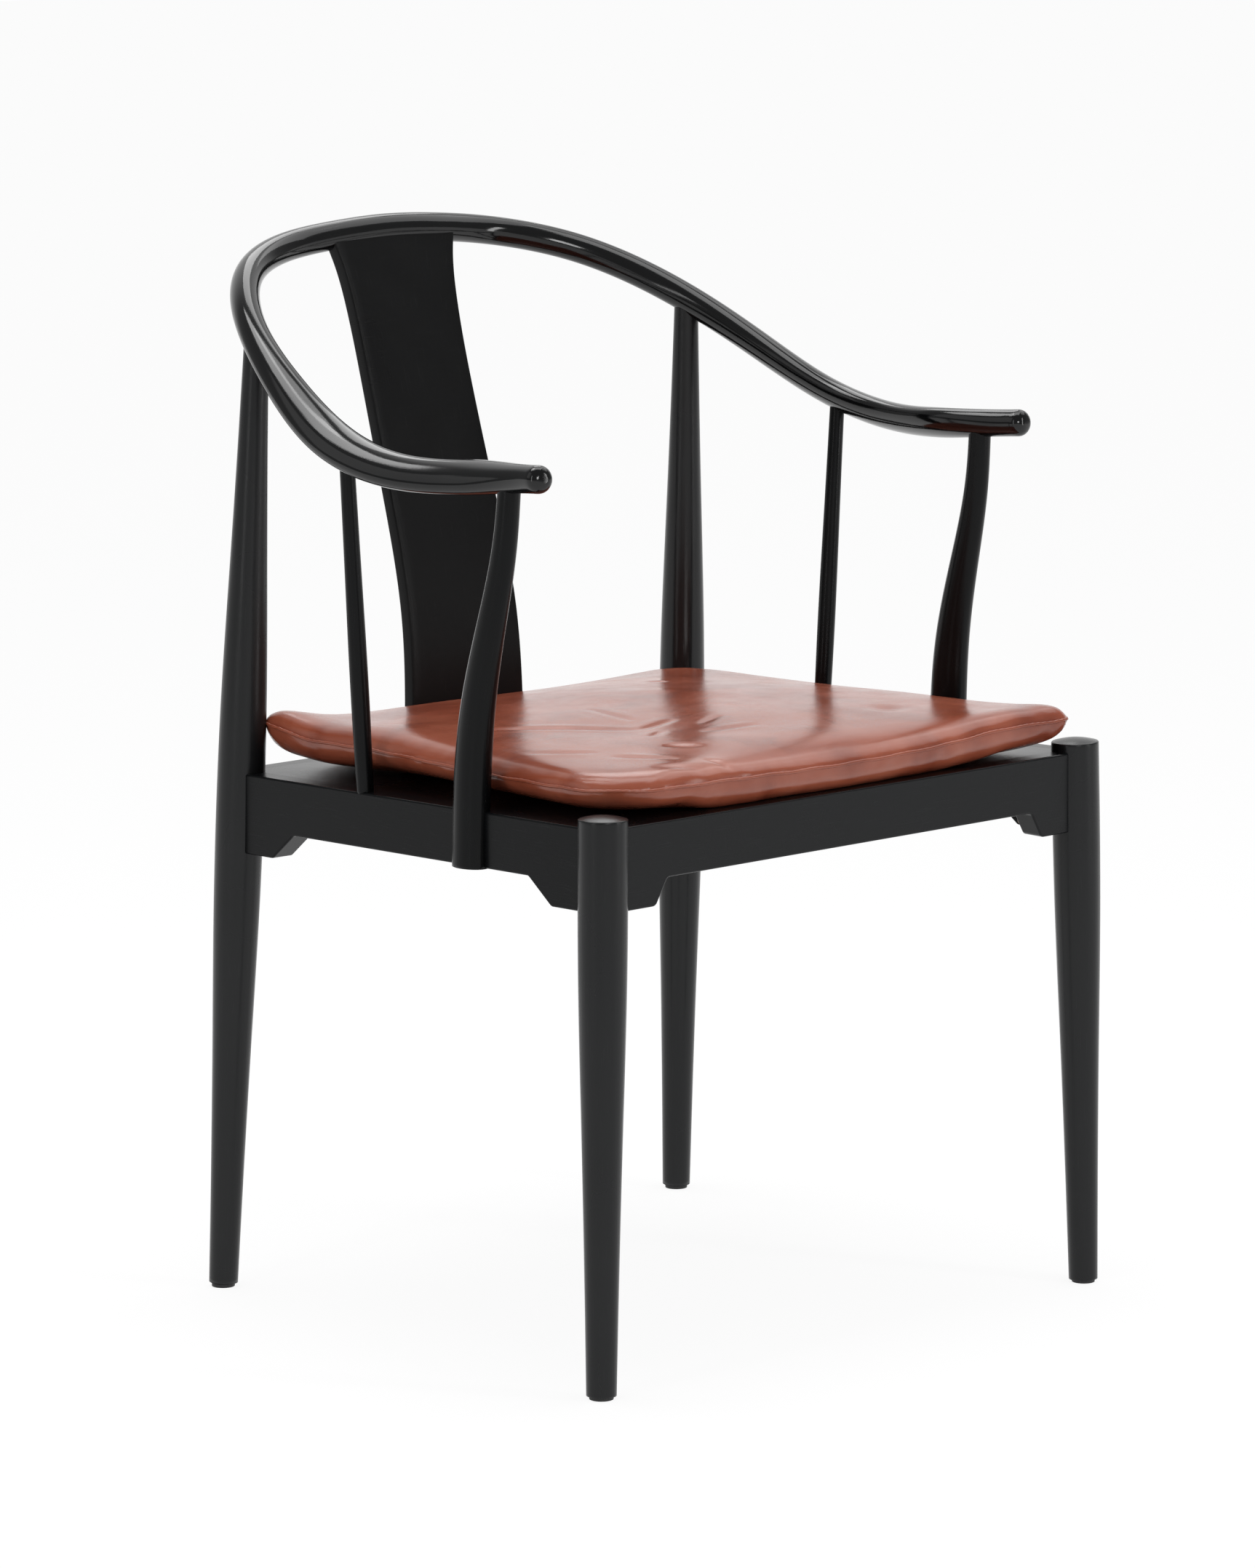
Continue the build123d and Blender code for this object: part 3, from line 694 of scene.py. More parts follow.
@dataclass
class Legs:
    """Four turned legs, the rear pair going on up to the crest rail."""

    foot_diameter: float = 22.4 * MM
    seat_diameter: float = 36.8 * MM
    top_diameter: float = 18.8 * MM
    seat_height: float = 421.0 * MM
    floor_gap: float = 2.5 * MM
    dome: float = 2.5 * MM
    edge: float = 1.2 * MM
    front_foot: Array = point(256.6, -262.7, 0.0)
    front_top: Array = point(247.8, -255.4, 428.0)
    rear_foot: Array = point(243.0, 185.0, 0.0)
    rear_joint: float = 155.5 * MM
    lower: Array = table(
        (0.0, 0.0), (0.24, 0.25), (0.475, 0.57), (0.70, 0.895), (0.95, 1.0))
    upper: Array = table(
        (0.15, 0.1), (0.43, 0.41), (0.72, 0.745), (1.0, 1.0))

    def lower_knots(self) -> Array:
        """(distance, radius) below the seat: foot radius + share of the gain."""
        gain = self.seat_diameter - self.foot_diameter
        return np.stack([
            self.lower[:, 0] * self.seat_height,
            (self.foot_diameter + gain * self.lower[:, 1]) / 2,
        ], axis=1)

    def front_rings(self) -> Array:
        """Rings of the left front leg: taper, softened rim, shallow dome."""
        length = float(np.linalg.norm(self.front_top - self.front_foot))
        radius = self.seat_diameter / 2
        knots = np.concatenate([self.lower_knots(), [(length, radius)]])
        side = through(knots, 120)
        side = side[(side[:, 0] > self.floor_gap) & (side[:, 0] < length - self.edge)]
        side = np.concatenate([[(self.floor_gap, np.interp(self.floor_gap, *knots.T))], side])
        quarter = np.linspace(0.0, np.pi / 2, 7)
        rim = np.stack([
            length - self.edge + self.edge * np.sin(quarter),
            radius - self.edge + self.edge * np.cos(quarter),
        ], axis=1)
        share = np.linspace(0.0, 0.97, 10)[1:]
        inner = radius - self.edge
        cap = np.stack([length + self.dome * (1 - (1 - share) ** 2), inner * (1 - share)], axis=1)
        return self.around(self.front_foot, self.front_top, np.concatenate([side, rim, cap]))

    def rear_rings(self, top: Array) -> Array:
        """Rings of the left rear leg, up to the middle of the crest rail.

        Args:
            top: where its axis meets the rail's centreline.

        Returns:
            (n, m, 3) rings.
        """
        length = float(np.linalg.norm(top - self.rear_foot))
        loss = self.seat_diameter - self.top_diameter
        above = np.stack([
            self.seat_height + (length - self.seat_height) * self.upper[:, 0],
            (self.seat_diameter - loss * self.upper[:, 1]) / 2,
        ], axis=1)
        side = through(np.concatenate([self.lower_knots(), above]), 220)
        side = side[side[:, 0] > self.floor_gap]
        return self.around(self.rear_foot, top, side)

    @staticmethod
    def around(foot: Array, top: Array, side: Array) -> Array:
        """Turn (distance, radius) pairs round the line from foot to top."""
        line = (top - foot) / np.linalg.norm(top - foot)
        return turned(foot + side[:, :1] * line, side[:, 1])

    def build(self, lacquer: Material, rail: CrestRail) -> None:
        """Make the four legs and let them stand for their nodes."""
        front, rear = self.front_rings(), self.rear_rings(rail.point(self.rear_joint))
        on_both_sides((("front_leg", front), ("rear_leg", rear)), "turned", lacquer)


@dataclass
class SideSupports:
    """Arm posts and spindles between the side rails and the arms."""

    post_foot: Array = point(251.7, -116.3, 374.57)
    post_joint: float = -153.5 * MM
    post_width: float = 32.0 * MM
    post_thickness: float = 24.0 * MM
    post_top: float = 17.2 * MM
    taper_from: float = 0.2
    post_bend: Array = table(
        (0.0, 0.0), (0.22, 0.02), (0.43, 0.18), (0.635, 0.54), (0.84, 0.89), (1.0, 1.0))
    spindle_foot: Array = point(240.6, 14.7, 412.5)
    spindle_y: float = 14.7 * MM
    spindle_diameters: Triple = (12.8 * MM, 14.0 * MM, 11.4 * MM)
    spindle_swell: Pair = (0.30, 0.65)
    spindle_sunk: float = 2.0 * MM

    def post_rings(self, top: Array, around: int = 56) -> Array:
        """Level ovals along the bent line: foot + run * (up, out, up), easing to a circle.

        Args:
            top: where the post's line meets the rail's centreline.
            around: points in a ring.

        Returns:
            (n, around, 3) rings.
        """
        run = top - self.post_foot
        up, out = self.post_bend.T
        knots = self.post_foot + np.stack([run[0] * up, run[1] * out, run[2] * up], axis=1)
        line = through(knots, 140)
        share = (line[:, 2] - self.post_foot[2]) / run[2]
        taper = (share - self.taper_from) / (1 - self.taper_from)
        deep = ease(self.post_width, self.post_top, taper) / 2
        thick = ease(self.post_thickness, self.post_top, taper) / 2
        angle = np.arange(around) / around * 2 * np.pi
        oval = np.stack([
            thick[:, None] * np.cos(angle), deep[:, None] * np.sin(angle),
            np.zeros((len(line), around)),
        ], axis=-1)
        return line[:, None] + oval

    def spindle_rings(self, top: Array) -> Array:
        """Turned spindle: radius eased through foot, middle and top diameters."""
        length = float(np.linalg.norm(top - self.spindle_foot))
        low, middle, high = self.spindle_diameters
        first, second = self.spindle_swell
        knots = np.array([
            (-self.spindle_sunk, low / 2), (length * first, middle / 2),
            (length * second, (middle + high) / 4), (length, high / 2),
        ])
        return Legs.around(self.spindle_foot, top, through(knots, 90))

    def build(self, lacquer: Material, rail: CrestRail) -> None:
        """Make both posts and both spindles and let them stand for their nodes."""
        posts = self.post_rings(rail.point(self.post_joint))
        spindles = self.spindle_rings(rail.point(self.spindle_y))
        on_both_sides((("arm_post", posts), ("side_spindle", spindles)), "shaped", lacquer)


@dataclass
class BackSplat:
    """Board bent in side view and waisted in front view."""

    foot: Array = point(172.8, 407.5)
    head: Array = point(259.7, 800.3)
    thickness: float = 12.0 * MM
    edge: float = 2.2 * MM
    bottom: float = 118.0 * MM
    waist: float = 106.0 * MM
    top: float = 128.0 * MM
    bend: Array = table(
        (0.0, 0.0), (0.25, 0.065), (0.50, 0.353), (0.75, 0.690), (1.0, 1.0))
    sides: Array = table(
        (0.00, 0.00, 0.0), (0.42, 0.70, 0.0), (0.69, 1.00, 0.0), (0.86, 1.00, 0.1),
        (0.95, 1.00, 0.5), (1.00, 1.00, 1.0))

    def rings(self) -> Array:
        """Rounded rectangles across the bent line: x by the front view, y and z by the bend.

        A ring's point is line + deep * normal, moved sideways by across; the half width
        is a spline through the waist and the flare.

        Returns:
            (n, m, 3) rings from the back rail to the crest rail.
        """
        lean, rise = self.head - self.foot
        up, out = self.bend.T
        line = through(np.stack([self.foot[0] + lean * out, self.foot[1] + rise * up], 1), 200)
        ahead = directions(line)
        normal = np.stack([-ahead[:, 1], ahead[:, 0]], axis=1)
        share, narrow, wide = self.sides.T
        half = (
            self.bottom / 2 + (self.waist - self.bottom) / 2 * narrow
            + (self.top - self.waist) / 2 * wide
        )
        outline = through(np.stack([share * rise + self.foot[1], half], axis=1), 300)
        width = np.interp(line[:, 1], outline[:, 0], outline[:, 1])
        flat = rounded_rectangle(width, self.thickness / 2, self.edge, 6, 14)
        deep = flat[..., 1:2] * normal[:, None]
        return np.concatenate([flat[..., :1], line[:, None] + deep], axis=-1)

    def build(self, lacquer: Material) -> None:
        """Make the board and let it stand for its node."""
        lacquered("back_splat_bent", self.rings(), lacquer, "back_splat")


@dataclass
class SeatFrame:
    """Rails, panel, blocks, screws and glides: the CAD nodes with their finishes."""

    def build(self, rails_x: Material, rails_y: Material) -> None:
        """Finish every node that stays."""
        for node in ("front_rail", "back_rail", "seat_panel"):
            finish_node(node, rails_x)
        for side in Side:
            finish_node(f"side_rail_{side.word}", rails_y)
        beech, zinc, nylon = BareBeech().build(), ZincSteel().build(), NylonGlide().build()
        for side in Side:
            finish_node(f"corner_block_front_{side.word}", beech)
            finish_node(f"corner_block_rear_{side.word}", beech)
        for node in ("corner_block_screws", "seat_panel_screws", "arm_post_screws"):
            finish_node(node, zinc)
        finish_node("floor_glides", nylon)


@dataclass
class LooseCushion:
    """Thin leather cushion, blown up by a cloth simulation and laid flat on the seat."""

    seat_front: float = -255.9 * MM
    seat_height: float = 421.0 * MM
    seat_run: float = 425.5 * MM
    seat_fall: float = 13.5 * MM
    front_half: float = 240.0 * MM
    rear_half: float = 217.0 * MM
    overhang: float = 8.6 * MM
    rear_gap: float = 6.1 * MM
    stray: float = 3.5 * MM
    pulls: Four = (5.0 * MM, 2.0 * MM, 4.0 * MM, -3.0 * MM)
    corners: Four = (16.0 * MM, 26.0 * MM, 16.0 * MM, 58.0 * MM)
    rest: float = 0.4 * MM
    seam: float = 23.0 * MM
    crown: float = 43.0 * MM
    start_inset: float = 2.5 * MM
    start_thinner: float = 3.0 * MM
    voxel: float = 5.0 * MM
    cap: float = 5.0 * MM
    slack: float = 0.7 * MM
    pressure: float = 4.0
    steps: int = 20
    cloth: dict[str, float] = field(default_factory=lambda: {
        "quality": 6, "mass": 0.4, "tension_stiffness": 22.0, "compression_stiffness": 9.0,
        "shear_stiffness": 9.0, "bending_stiffness": 0.8})
    dome: Pair = (0.62, 0.50)
    seam_belt: float = 3.0 * MM
    thin_corners: Four = (0.3, 0.4, -1.3, 0.9)
    thin_bell: float = 75.0 * MM
    thin_step: float = 60.0 * MM
    thin_beside: float = 130.0 * MM
    thin_behind: float = 330.0 * MM
    relax_bell: float = 70.0 * MM
    relax_passes: tuple[tuple[float, float, int], ...] = (
        (0.2, 0.7, 14), (0.2, 0.7, 10), (0.2, 0.6, 3))
    crease_depth: float = 0.75
    crease_width: float = 1.3
    ridge: Triple = (0.28, 2.3, 1.3)
    swell: Triple = (0.35, 31.0, 23.0)
    puckers: Pair = (0.30, 0.18)
    over: Array = table(
        (0.0, 0.0), (1.2, 0.19), (4.0, 0.44), (9.0, 0.70), (16.0, 0.862), (24.0, 0.937),
        (36.0, 0.975), (60.0, 1.0), (240.0, 1.0))
    under: Array = table(
        (0.0, 0.0), (1.2, 0.25), (3.9, 0.52), (8.0, 0.76), (12.0, 0.90), (18.0, 1.0),
        (240.0, 1.0))
    under_thin: Array = table(
        (0.0, 0.0), (1.2, 0.16), (3.9, 0.32), (8.0, 0.46), (14.0, 0.58), (21.0, 0.67),
        (30.0, 0.76), (45.0, 0.87), (65.0, 0.96), (90.0, 1.0), (240.0, 1.0))
    lifts: Array = table(
        (-228.0, 165.0, 13.0, 48.0, 45.0), (-222.0, 50.0, 5.5, 50.0, 110.0),
        (240.0, -262.0, 2.5, 40.0, 40.0), (-10.0, -264.0, -2.5, 110.0, 26.0),
        (165.0, -264.0, 4.0, 55.0, 26.0), (60.0, 150.0, -2.5, 90.0, 50.0),
        (225.0, 100.0, 3.0, 45.0, 50.0))
    creases: Array = table(
        (-165, -24, -86, -116, 1.5, 3.2), (-83, -119, -41, -111, 1.2, 3.2),
        (-203, -129, -174, -170, 1.0, 2.8), (-176, -190, -148, -228, 1.5, 3.4),
        (-118, -185, -101, -205, 1.5, 3.4), (-184, -242, -150, -257, 1.2, 3.2),
        (-51, -30, -62, -88, 1.1, 3.0), (-60, -165, -12, -173, 1.2, 3.2),
        (-135, -243, -122, -262, 1.0, 2.6), (95, 62, 106, 50, 1.2, 4.0),
        (-40, -140, -8, -128, 0.8, 2.6), (-100, -150, -78, -138, 0.9, 2.8))
    dimples: Array = table(
        (118.0, -181.0, 2.2, 13.0), (-75.0, -120.0, 2.6, 62.0), (-128.0, -205.0, 1.6, 34.0),
        (40.0, 40.0, -1.2, 90.0), (150.0, -60.0, -0.8, 70.0))

    @property
    def tilt(self) -> float:
        """Angle by which the seat falls to the back."""
        return math.atan2(self.seat_fall, self.seat_run)

    def to_world(self, flat: Array) -> Array:
        """Seat coordinates (across, back, above the panel) turned by the tilt into the room."""
        c, s = math.cos(self.tilt), math.sin(self.tilt)
        x, back, above = flat[..., 0], flat[..., 1], flat[..., 2]
        return np.stack([
            x, self.seat_front + back * c + above * s, self.seat_height - back * s + above * c
        ], axis=-1)

    def to_seat(self, world: Array) -> Array:
        """The room's coordinates turned back into the seat's."""
        c, s = math.cos(self.tilt), math.sin(self.tilt)
        y, z = world[..., 1] - self.seat_front, world[..., 2] - self.seat_height
        return np.stack([world[..., 0], y * c - z * s, y * s + z * c], axis=-1)

    def outline(self, inset: float, count: int = 240) -> Array:
        """Rounded outline in the seat's plane, its sides curved between the corners.

        Straight sides run between quarter circles, and each side is moved inwards by
        its pull * sin(pi * share along it).

        Args:
            inset: how far inside the full size.
            count: points round the outline.

        Returns:
            (count, 2) points, evenly spaced.
        """
        front, rear = -self.overhang + inset, self.seat_run - self.rear_gap - inset
        corners = np.array([
            (self.front_half - inset, front), (self.rear_half - inset, rear),
            (inset - self.rear_half - self.stray, rear), (inset - self.front_half, front),
        ])
        nxt = np.roll(corners, -1, axis=0)
        way = (nxt - corners) / np.linalg.norm(nxt - corners, axis=1, keepdims=True)
        back = np.roll(way, 1, axis=0)
        radius = np.array(self.corners)[:, None]
        share = np.linspace(0.0, 1.0, 60)
        turn = np.linspace(0.0, np.pi / 2, 24)
        centre = corners + (way - back) * radius
        arc = (
            centre[:, None] + radius[..., None] * (np.sin(turn)[None, :, None] * back[:, None]
                                                   - np.cos(turn)[None, :, None] * way[:, None])
        )
        start, end = corners + way * radius, nxt - way * np.roll(radius, -1, axis=0)
        inward = np.stack([-way[:, 1], way[:, 0]], axis=1)
        side = start[:, None] + (end - start)[:, None] * share[None, :, None]
        pull = np.array(self.pulls)[:, None] * np.sin(np.pi * share)
        side = side + inward[:, None] * pull[..., None]
        loop = np.concatenate([arc, side], axis=1).reshape(-1, 2)
        loop = np.concatenate([loop, loop[:1]])
        return evenly(loop, count + 1)[:-1]

    def polar(self, flat: Array) -> tuple[Array, Array, Array]:
        """Angle, distance and unit direction of places seen from the cushion's middle."""
        arm = flat - np.array([0.0, (self.seat_run - self.rear_gap - self.overhang) / 2])
        far = np.linalg.norm(arm, axis=1)
        return np.arctan2(arm[:, 1], arm[:, 0]), far, arm / np.maximum(far, 1e-9)[:, None]

    def reach(self, angle: Array) -> Array:
        """How far the full outline lies from the middle, by the angle."""
        around, far, _ = self.polar(self.outline(0.0, 1200))
        order = np.argsort(around)
        return np.interp(angle, around[order], far[order], period=2 * np.pi)

    def thinness(self, x: Array, back: Array) -> Array:
        """1 where the under side curves in thinly, 0 where it is full.

        The sum of a bell at each corner, which takes away at the right rear one, and an
        eased step along the right, left and rear sides, held in 0 to 1.
        """
        front, rear = -self.overhang, self.seat_run - self.rear_gap
        places = np.array([
            (self.front_half, front), (self.rear_half, rear),
            (-self.rear_half, rear), (-self.front_half, front),
        ])
        gap = np.linalg.norm(np.stack([x, back], 1)[:, None] - places, axis=-1)
        bells = (np.array(self.thin_corners) * np.exp(-((gap / self.thin_bell) ** 2))).sum(1)
        right = ease(0.0, 1.0, (-x - self.thin_beside) / self.thin_step)
        left = ease(0.0, 0.5, (x - self.thin_beside) / self.thin_step)
        behind = ease(0.0, 0.5, (back - self.thin_behind) / self.thin_step)
        return np.clip(bells + right + left + behind, 0.0, 1.0)

    def lift(self, x: Array, back: Array) -> Array:
        """How far the cushion curls up from the seat: a sum of bells, mostly at its right side."""
        point = np.stack([x, back + self.seat_front], axis=1)[:, None] / MM
        apart = (point - self.lifts[:, 0:2]) / self.lifts[:, 3:5]
        return (self.lifts[:, 2] * np.exp(-(apart**2).sum(-1))).sum(1) * MM

    def start_shape(self) -> Piece:
        """The cushion before it is blown up: two dished faces that meet at the seam.

        A ring at share r is centre + (outline - centre) * r; its height above or under
        the seam is looked up from how far it lies inside the outline.

        Returns:
            The closed start mesh.
        """
        edge = self.outline(self.start_inset)
        centre = edge.mean(axis=0)
        shares = 1.0 - np.linspace(0.0, 1.0, 60)[1:] ** 1.8
        shares = np.concatenate([[1.0], shares[:-1]])
        reach = np.linalg.norm(edge - centre, axis=1)
        inside = (1.0 - shares)[:, None] * reach[None]
        high = self.crown - self.seam - self.start_thinner
        low = self.seam - self.rest - self.start_thinner * 0.5
        rise = np.interp(inside, self.over[:, 0] * MM, self.over[:, 1]) * high
        drop = np.interp(inside, self.under[:, 0] * MM, self.under[:, 1]) * low
        flat = centre + (edge - centre)[None] * shares[:, None, None]
        top = np.concatenate([flat, (self.seam + rise)[..., None]], axis=-1)
        bottom = np.concatenate([flat, (self.seam - drop)[..., None]], axis=-1)
        rings = np.concatenate([bottom[::-1], top[1:]])
        return skin("seat_cushion", self.to_world(rings))

    def limits(self, x: Array, back: Array) -> tuple[Array, Array]:
        """Lowest and highest level that the full cushion reaches over each place.

        Both are looked up from how far the place lies inside the outline, measured on
        the line from the middle. The top is that edge times a dome,
        base + rise * (1 - u^2) * (1 - v^2) with u and v from -1 to 1 across and along the
        seat. The underside is a mix of a full and a thin edge.

        Args:
            x: places across the seat.
            back: places from front to back.

        Returns:
            The lower and the upper levels above the panel.
        """
        angle, far, _ = self.polar(np.stack([x, back], axis=1))
        inside = np.maximum(self.reach(angle) - far, 0.0)
        half = (self.seat_run - self.rear_gap + self.overhang) / 2
        u = np.clip(2 * x / (self.front_half + self.rear_half), -1.0, 1.0)
        v = np.clip((back + self.overhang - half) / half, -1.0, 1.0)
        base, more = self.dome
        rise = np.interp(inside, self.over[:, 0] * MM, self.over[:, 1])
        rise = rise * (base + more * (1 - u**2) * (1 - v**2))
        full = np.interp(inside, self.under[:, 0] * MM, self.under[:, 1])
        slim = np.interp(inside, self.under_thin[:, 0] * MM, self.under_thin[:, 1])
        drop = full + (slim - full) * self.thinness(x, back)
        return (
            self.seam - drop * (self.seam - self.rest),
            self.seam + rise * (self.crown - self.seam),
        )

    def widest(self, flat: Array, above: Array, count: int = 360) -> Array:
        """How far the blown up cushion reaches from the middle, in even steps of the angle.

        The largest distance found near the seam's height in each step, smoothed.

        Args:
            flat: places in the seat's plane.
            above: their heights.
            count: steps round the circle.

        Returns:
            (count,) distances, the first step beginning at minus pi.
        """
        angle, far, _ = self.polar(flat)
        near = np.abs(above - self.seam) < self.seam_belt
        bins = ((angle[near] + np.pi) / (2 * np.pi) * count).astype(int) % count
        found = np.zeros(count)
        np.maximum.at(found, bins, far[near])
        step = np.arange(count)
        found = np.interp(step, step[found > 0], found[found > 0], period=count)
        kernel = np.hanning(7) / np.hanning(7).sum()
        return np.convolve(np.concatenate([found[-6:], found, found[:6]]), kernel, "same")[6:-6]

    def inflate(self, piece: Piece) -> None:
        """Blow the cushion up by a short cloth run, each point moving no more than the cap.

        Args:
            piece: the closed start mesh, which is remeshed to even quads first.
        """
        remesh = piece.modifiers.new("even", "REMESH")
        remesh.mode = "VOXEL"
        remesh.voxel_size = self.voxel
        self.apply(piece)
        before = coordinates(piece.data)
        cloth = piece.modifiers.new("blown", "CLOTH")
        for name, value in self.cloth.items():
            setattr(cloth.settings, name, value)
        cloth.settings.use_pressure = True
        cloth.settings.uniform_pressure_force = self.pressure
        cloth.settings.effector_weights.gravity = 0.0
        for step in range(1, self.steps + 1):
            bpy.context.scene.frame_set(step)
        self.apply(piece)
        moved = coordinates(piece.data) - before
        far = np.linalg.norm(moved, axis=1, keepdims=True)
        put(piece.data, before + moved * np.minimum(1.0, self.cap / np.maximum(far, 1e-9)))
        bpy.context.scene.frame_set(1)
        finer = piece.modifiers.new("finer", "SUBSURF")
        finer.levels = finer.render_levels = 1
        self.apply(piece)

    @staticmethod
    def apply(piece: Piece) -> None:
        """Freeze the piece's modifiers into its mesh."""
        graph = bpy.context.evaluated_depsgraph_get()
        mesh = bpy.data.meshes.new_from_object(piece.evaluated_get(graph))
        old = piece.data
        piece.modifiers.clear()
        piece.data = mesh
        bpy.data.meshes.remove(old)
        mesh.name = piece.name

    def drawn_out(self, mesh: Mesh) -> tuple[Array, Array, Array]:
        """The blown up cushion, drawn out to its outline and held within its limits.

        In each pass the points relax, most at the corners, then they go out by
        r * (1 + (outline / widest - 1) * share^4) and their height is held.

        Args:
            mesh: the blown up cushion.

        Returns:
            (n, 3) places across the seat, back and above the panel, then the angle and the
            unit direction of each as seen from the middle.
        """
        seat = self.to_seat(coordinates(mesh))
        near_corner = np.hypot(
            (np.abs(seat[:, 0]) - self.rear_half) / self.relax_bell,
            (np.abs(seat[:, 1] - self.seat_run / 2) - self.seat_run / 2) / self.relax_bell,
        )
        corner = np.exp(-(near_corner**2))
        for plain, more, rounds in self.relax_passes:
            seat = relaxed(mesh, seat, plain + more * corner, rounds)
            angle, far, way = self.polar(seat[:, :2])
            found = self.widest(seat[:, :2], seat[:, 2])
            step = (np.arange(len(found)) + 0.5) / len(found) * 2 * np.pi - np.pi
            now = np.interp(angle, step, found, period=2 * np.pi)
            grow = (self.reach(angle) / now - 1.0) * np.clip(far / now, 0.0, 1.0) ** 4
            x, back = (seat[:, :2] + way * (far * grow)[:, None]).T
            low, high = self.limits(x, back)
            above = np.clip(seat[:, 2], low - self.slack, high + self.slack)
            seat = np.stack([x, back, above], axis=1)
        return seat, angle, way

    def creased(self, x: Array, back: Array) -> Array:
        """Rise and fall of the upper face, in millimetres.

        Creases are grooves -depth * exp(-(distance / width)^2) beside low ridges, dimples
        are wide bells, and a slow swell of two sines lies under them.

        Args:
            x: places across the room.
            back: places from front to back in the room.

        Returns:
            (n,) heights.
        """
        a, b = self.creases[:, 0:2], self.creases[:, 2:4]
        depth = self.crease_depth * self.creases[:, 4]
        width = self.crease_width * self.creases[:, 5]
        point = np.stack([x, back], axis=1)[:, None]
        run = b - a
        share = ((point - a) * run).sum(-1) / (run**2).sum(-1)
        held = np.clip(share, 0.0, 1.0)
        gap = np.linalg.norm(point - (a + held[..., None] * run), axis=-1)
        fade = np.sin(np.pi * np.clip(share * 0.9 + 0.05, 0.0, 1.0)) ** 0.6
        groove = -depth * np.exp(-((gap / width) ** 2)) * fade
        high, off, wide = self.ridge
        ridge = high * depth * np.exp(-(((gap - off * width) / (wide * width)) ** 2)) * fade
        dimple = self.dimples[:, 2] * np.exp(
            -(((point - self.dimples[:, 0:2]) / self.dimples[:, 3][:, None]) ** 2).sum(-1)
        )
        rise = (groove + ridge).sum(1) - dimple.sum(1)
        swell, long, short = self.swell
        return rise + swell * np.sin(x / long + 1.3) * np.sin(back / short + 0.4)

    def shape(self, piece: Piece) -> None:
        """Lay the cushion down and give it its creases, dimples and puckered seam.

        The upper face rises and falls, puckers ripple just over and under the seam, and
        the lift is added last.

        Args:
            piece: the blown up cushion.
        """
        seat, angle, way = self.drawn_out(piece.data)
        x, back, above = seat.T
        weight = ease(0.0, 1.0, (above - self.seam) / (0.5 * (self.crown - self.seam)))
        rise = self.creased(x / MM, (back + self.seat_front) / MM)
        above = np.maximum(above + weight * rise * MM, self.rest)
        from_seam = np.abs(above - self.seam) / MM
        belt = np.exp(-((from_seam / 8.0) ** 2)) - np.exp(-((from_seam / 2.0) ** 2))
        broad, fine = self.puckers
        pucker = broad * np.sin(46 * angle + 2.0 * np.sin(5 * angle))
        pucker = pucker + fine * np.sin(83 * angle + 1.0)
        x = x + way[:, 0] * belt * pucker * MM
        back = back + way[:, 1] * belt * pucker * MM
        above = np.maximum(above + self.lift(x, back), self.rest)
        put(piece.data, self.to_world(np.stack([x, back, above], axis=1)))

    def welt(self, radius: float = 1.3 * MM, count: int = 1000) -> Piece:
        """Thin round welt sewn along the seam: a tube round the outline, lifted as the edge is.

        Args:
            radius: radius of the welt.
            count: rings round the cushion.

        Returns:
            The welt.
        """
        loop = self.outline(0.3 * MM, count)
        turn_share = np.arange(count) / count * 2 * np.pi
        level = self.seam + 0.3 * MM * np.sin(turn_share * 37) + self.lift(loop[:, 0], loop[:, 1])
        middle = np.concatenate([loop, level[:, None]], axis=1)
        ahead = np.roll(middle, -1, axis=0) - np.roll(middle, 1, axis=0)
        ahead /= np.linalg.norm(ahead, axis=1, keepdims=True)
        away = np.cross(ahead, [0.0, 0.0, 1.0])
        away /= np.linalg.norm(away, axis=1, keepdims=True)
        upward = np.cross(away, ahead)
        turn = np.arange(12) / 12 * 2 * np.pi
        pinch = radius * (1.0 + 0.10 * np.sin(turn_share * 250))
        rings = (
            middle[:, None] + (pinch[:, None] * np.cos(turn))[..., None] * away[:, None]
            + (pinch[:, None] * np.sin(turn))[..., None] * upward[:, None]
        )
        rings = np.concatenate([rings, rings[:1]])
        tube = skin("cushion_welt", self.to_world(rings), closed_ends=False)
        merge(tube.data)
        return tube

    def build(self, leather: Material) -> None:
        """Make the cushion and its welt and let the cushion stand for its three nodes."""
        piece = self.start_shape()
        self.inflate(piece)
        self.shape(piece)
        piece.data.polygons.foreach_set("use_smooth", np.full(len(piece.data.polygons), True))
        dress(
            piece, CUSHION, leather, "red_leather",
            "cushion_cover_top", "cushion_cover_bottom", "cushion_core",
        )
        dress(self.welt(), CUSHION, leather, "red_leather")


def coordinates(mesh: Mesh) -> Array:
    """(n, 3) positions of a mesh's points."""
    flat = np.empty(len(mesh.vertices) * 3)
    mesh.vertices.foreach_get("co", flat)
    return flat.reshape(-1, 3)


def relaxed(
    mesh: Mesh, points: Array, weight: Array | float, rounds: int
) -> Array:
    """Points moved towards the mean of their neighbours, again and again.

    Each round is point + weight * (mean of the neighbours - point).

    Args:
        mesh: the mesh whose edges join the points.
        points: (n, 3) places.
        weight: share of the way to go, one or one to a point.
        rounds: how often.

    Returns:
        (n, 3) places.
    """
    ends = np.empty(len(mesh.edges) * 2, dtype=np.int32)
    mesh.edges.foreach_get("vertices", ends)
    one, other = ends.reshape(-1, 2).T
    here, there = np.concatenate([one, other]), np.concatenate([other, one])
    size = len(points)
    joined = np.maximum(np.bincount(here, minlength=size), 1)[:, None]
    share = np.broadcast_to(weight, (size,))[:, None]
    for _ in range(rounds):
        total = [np.bincount(here, points[there, axis], minlength=size) for axis in range(3)]
        points = points + share * (np.stack(total, axis=1) / joined - points)
    return points


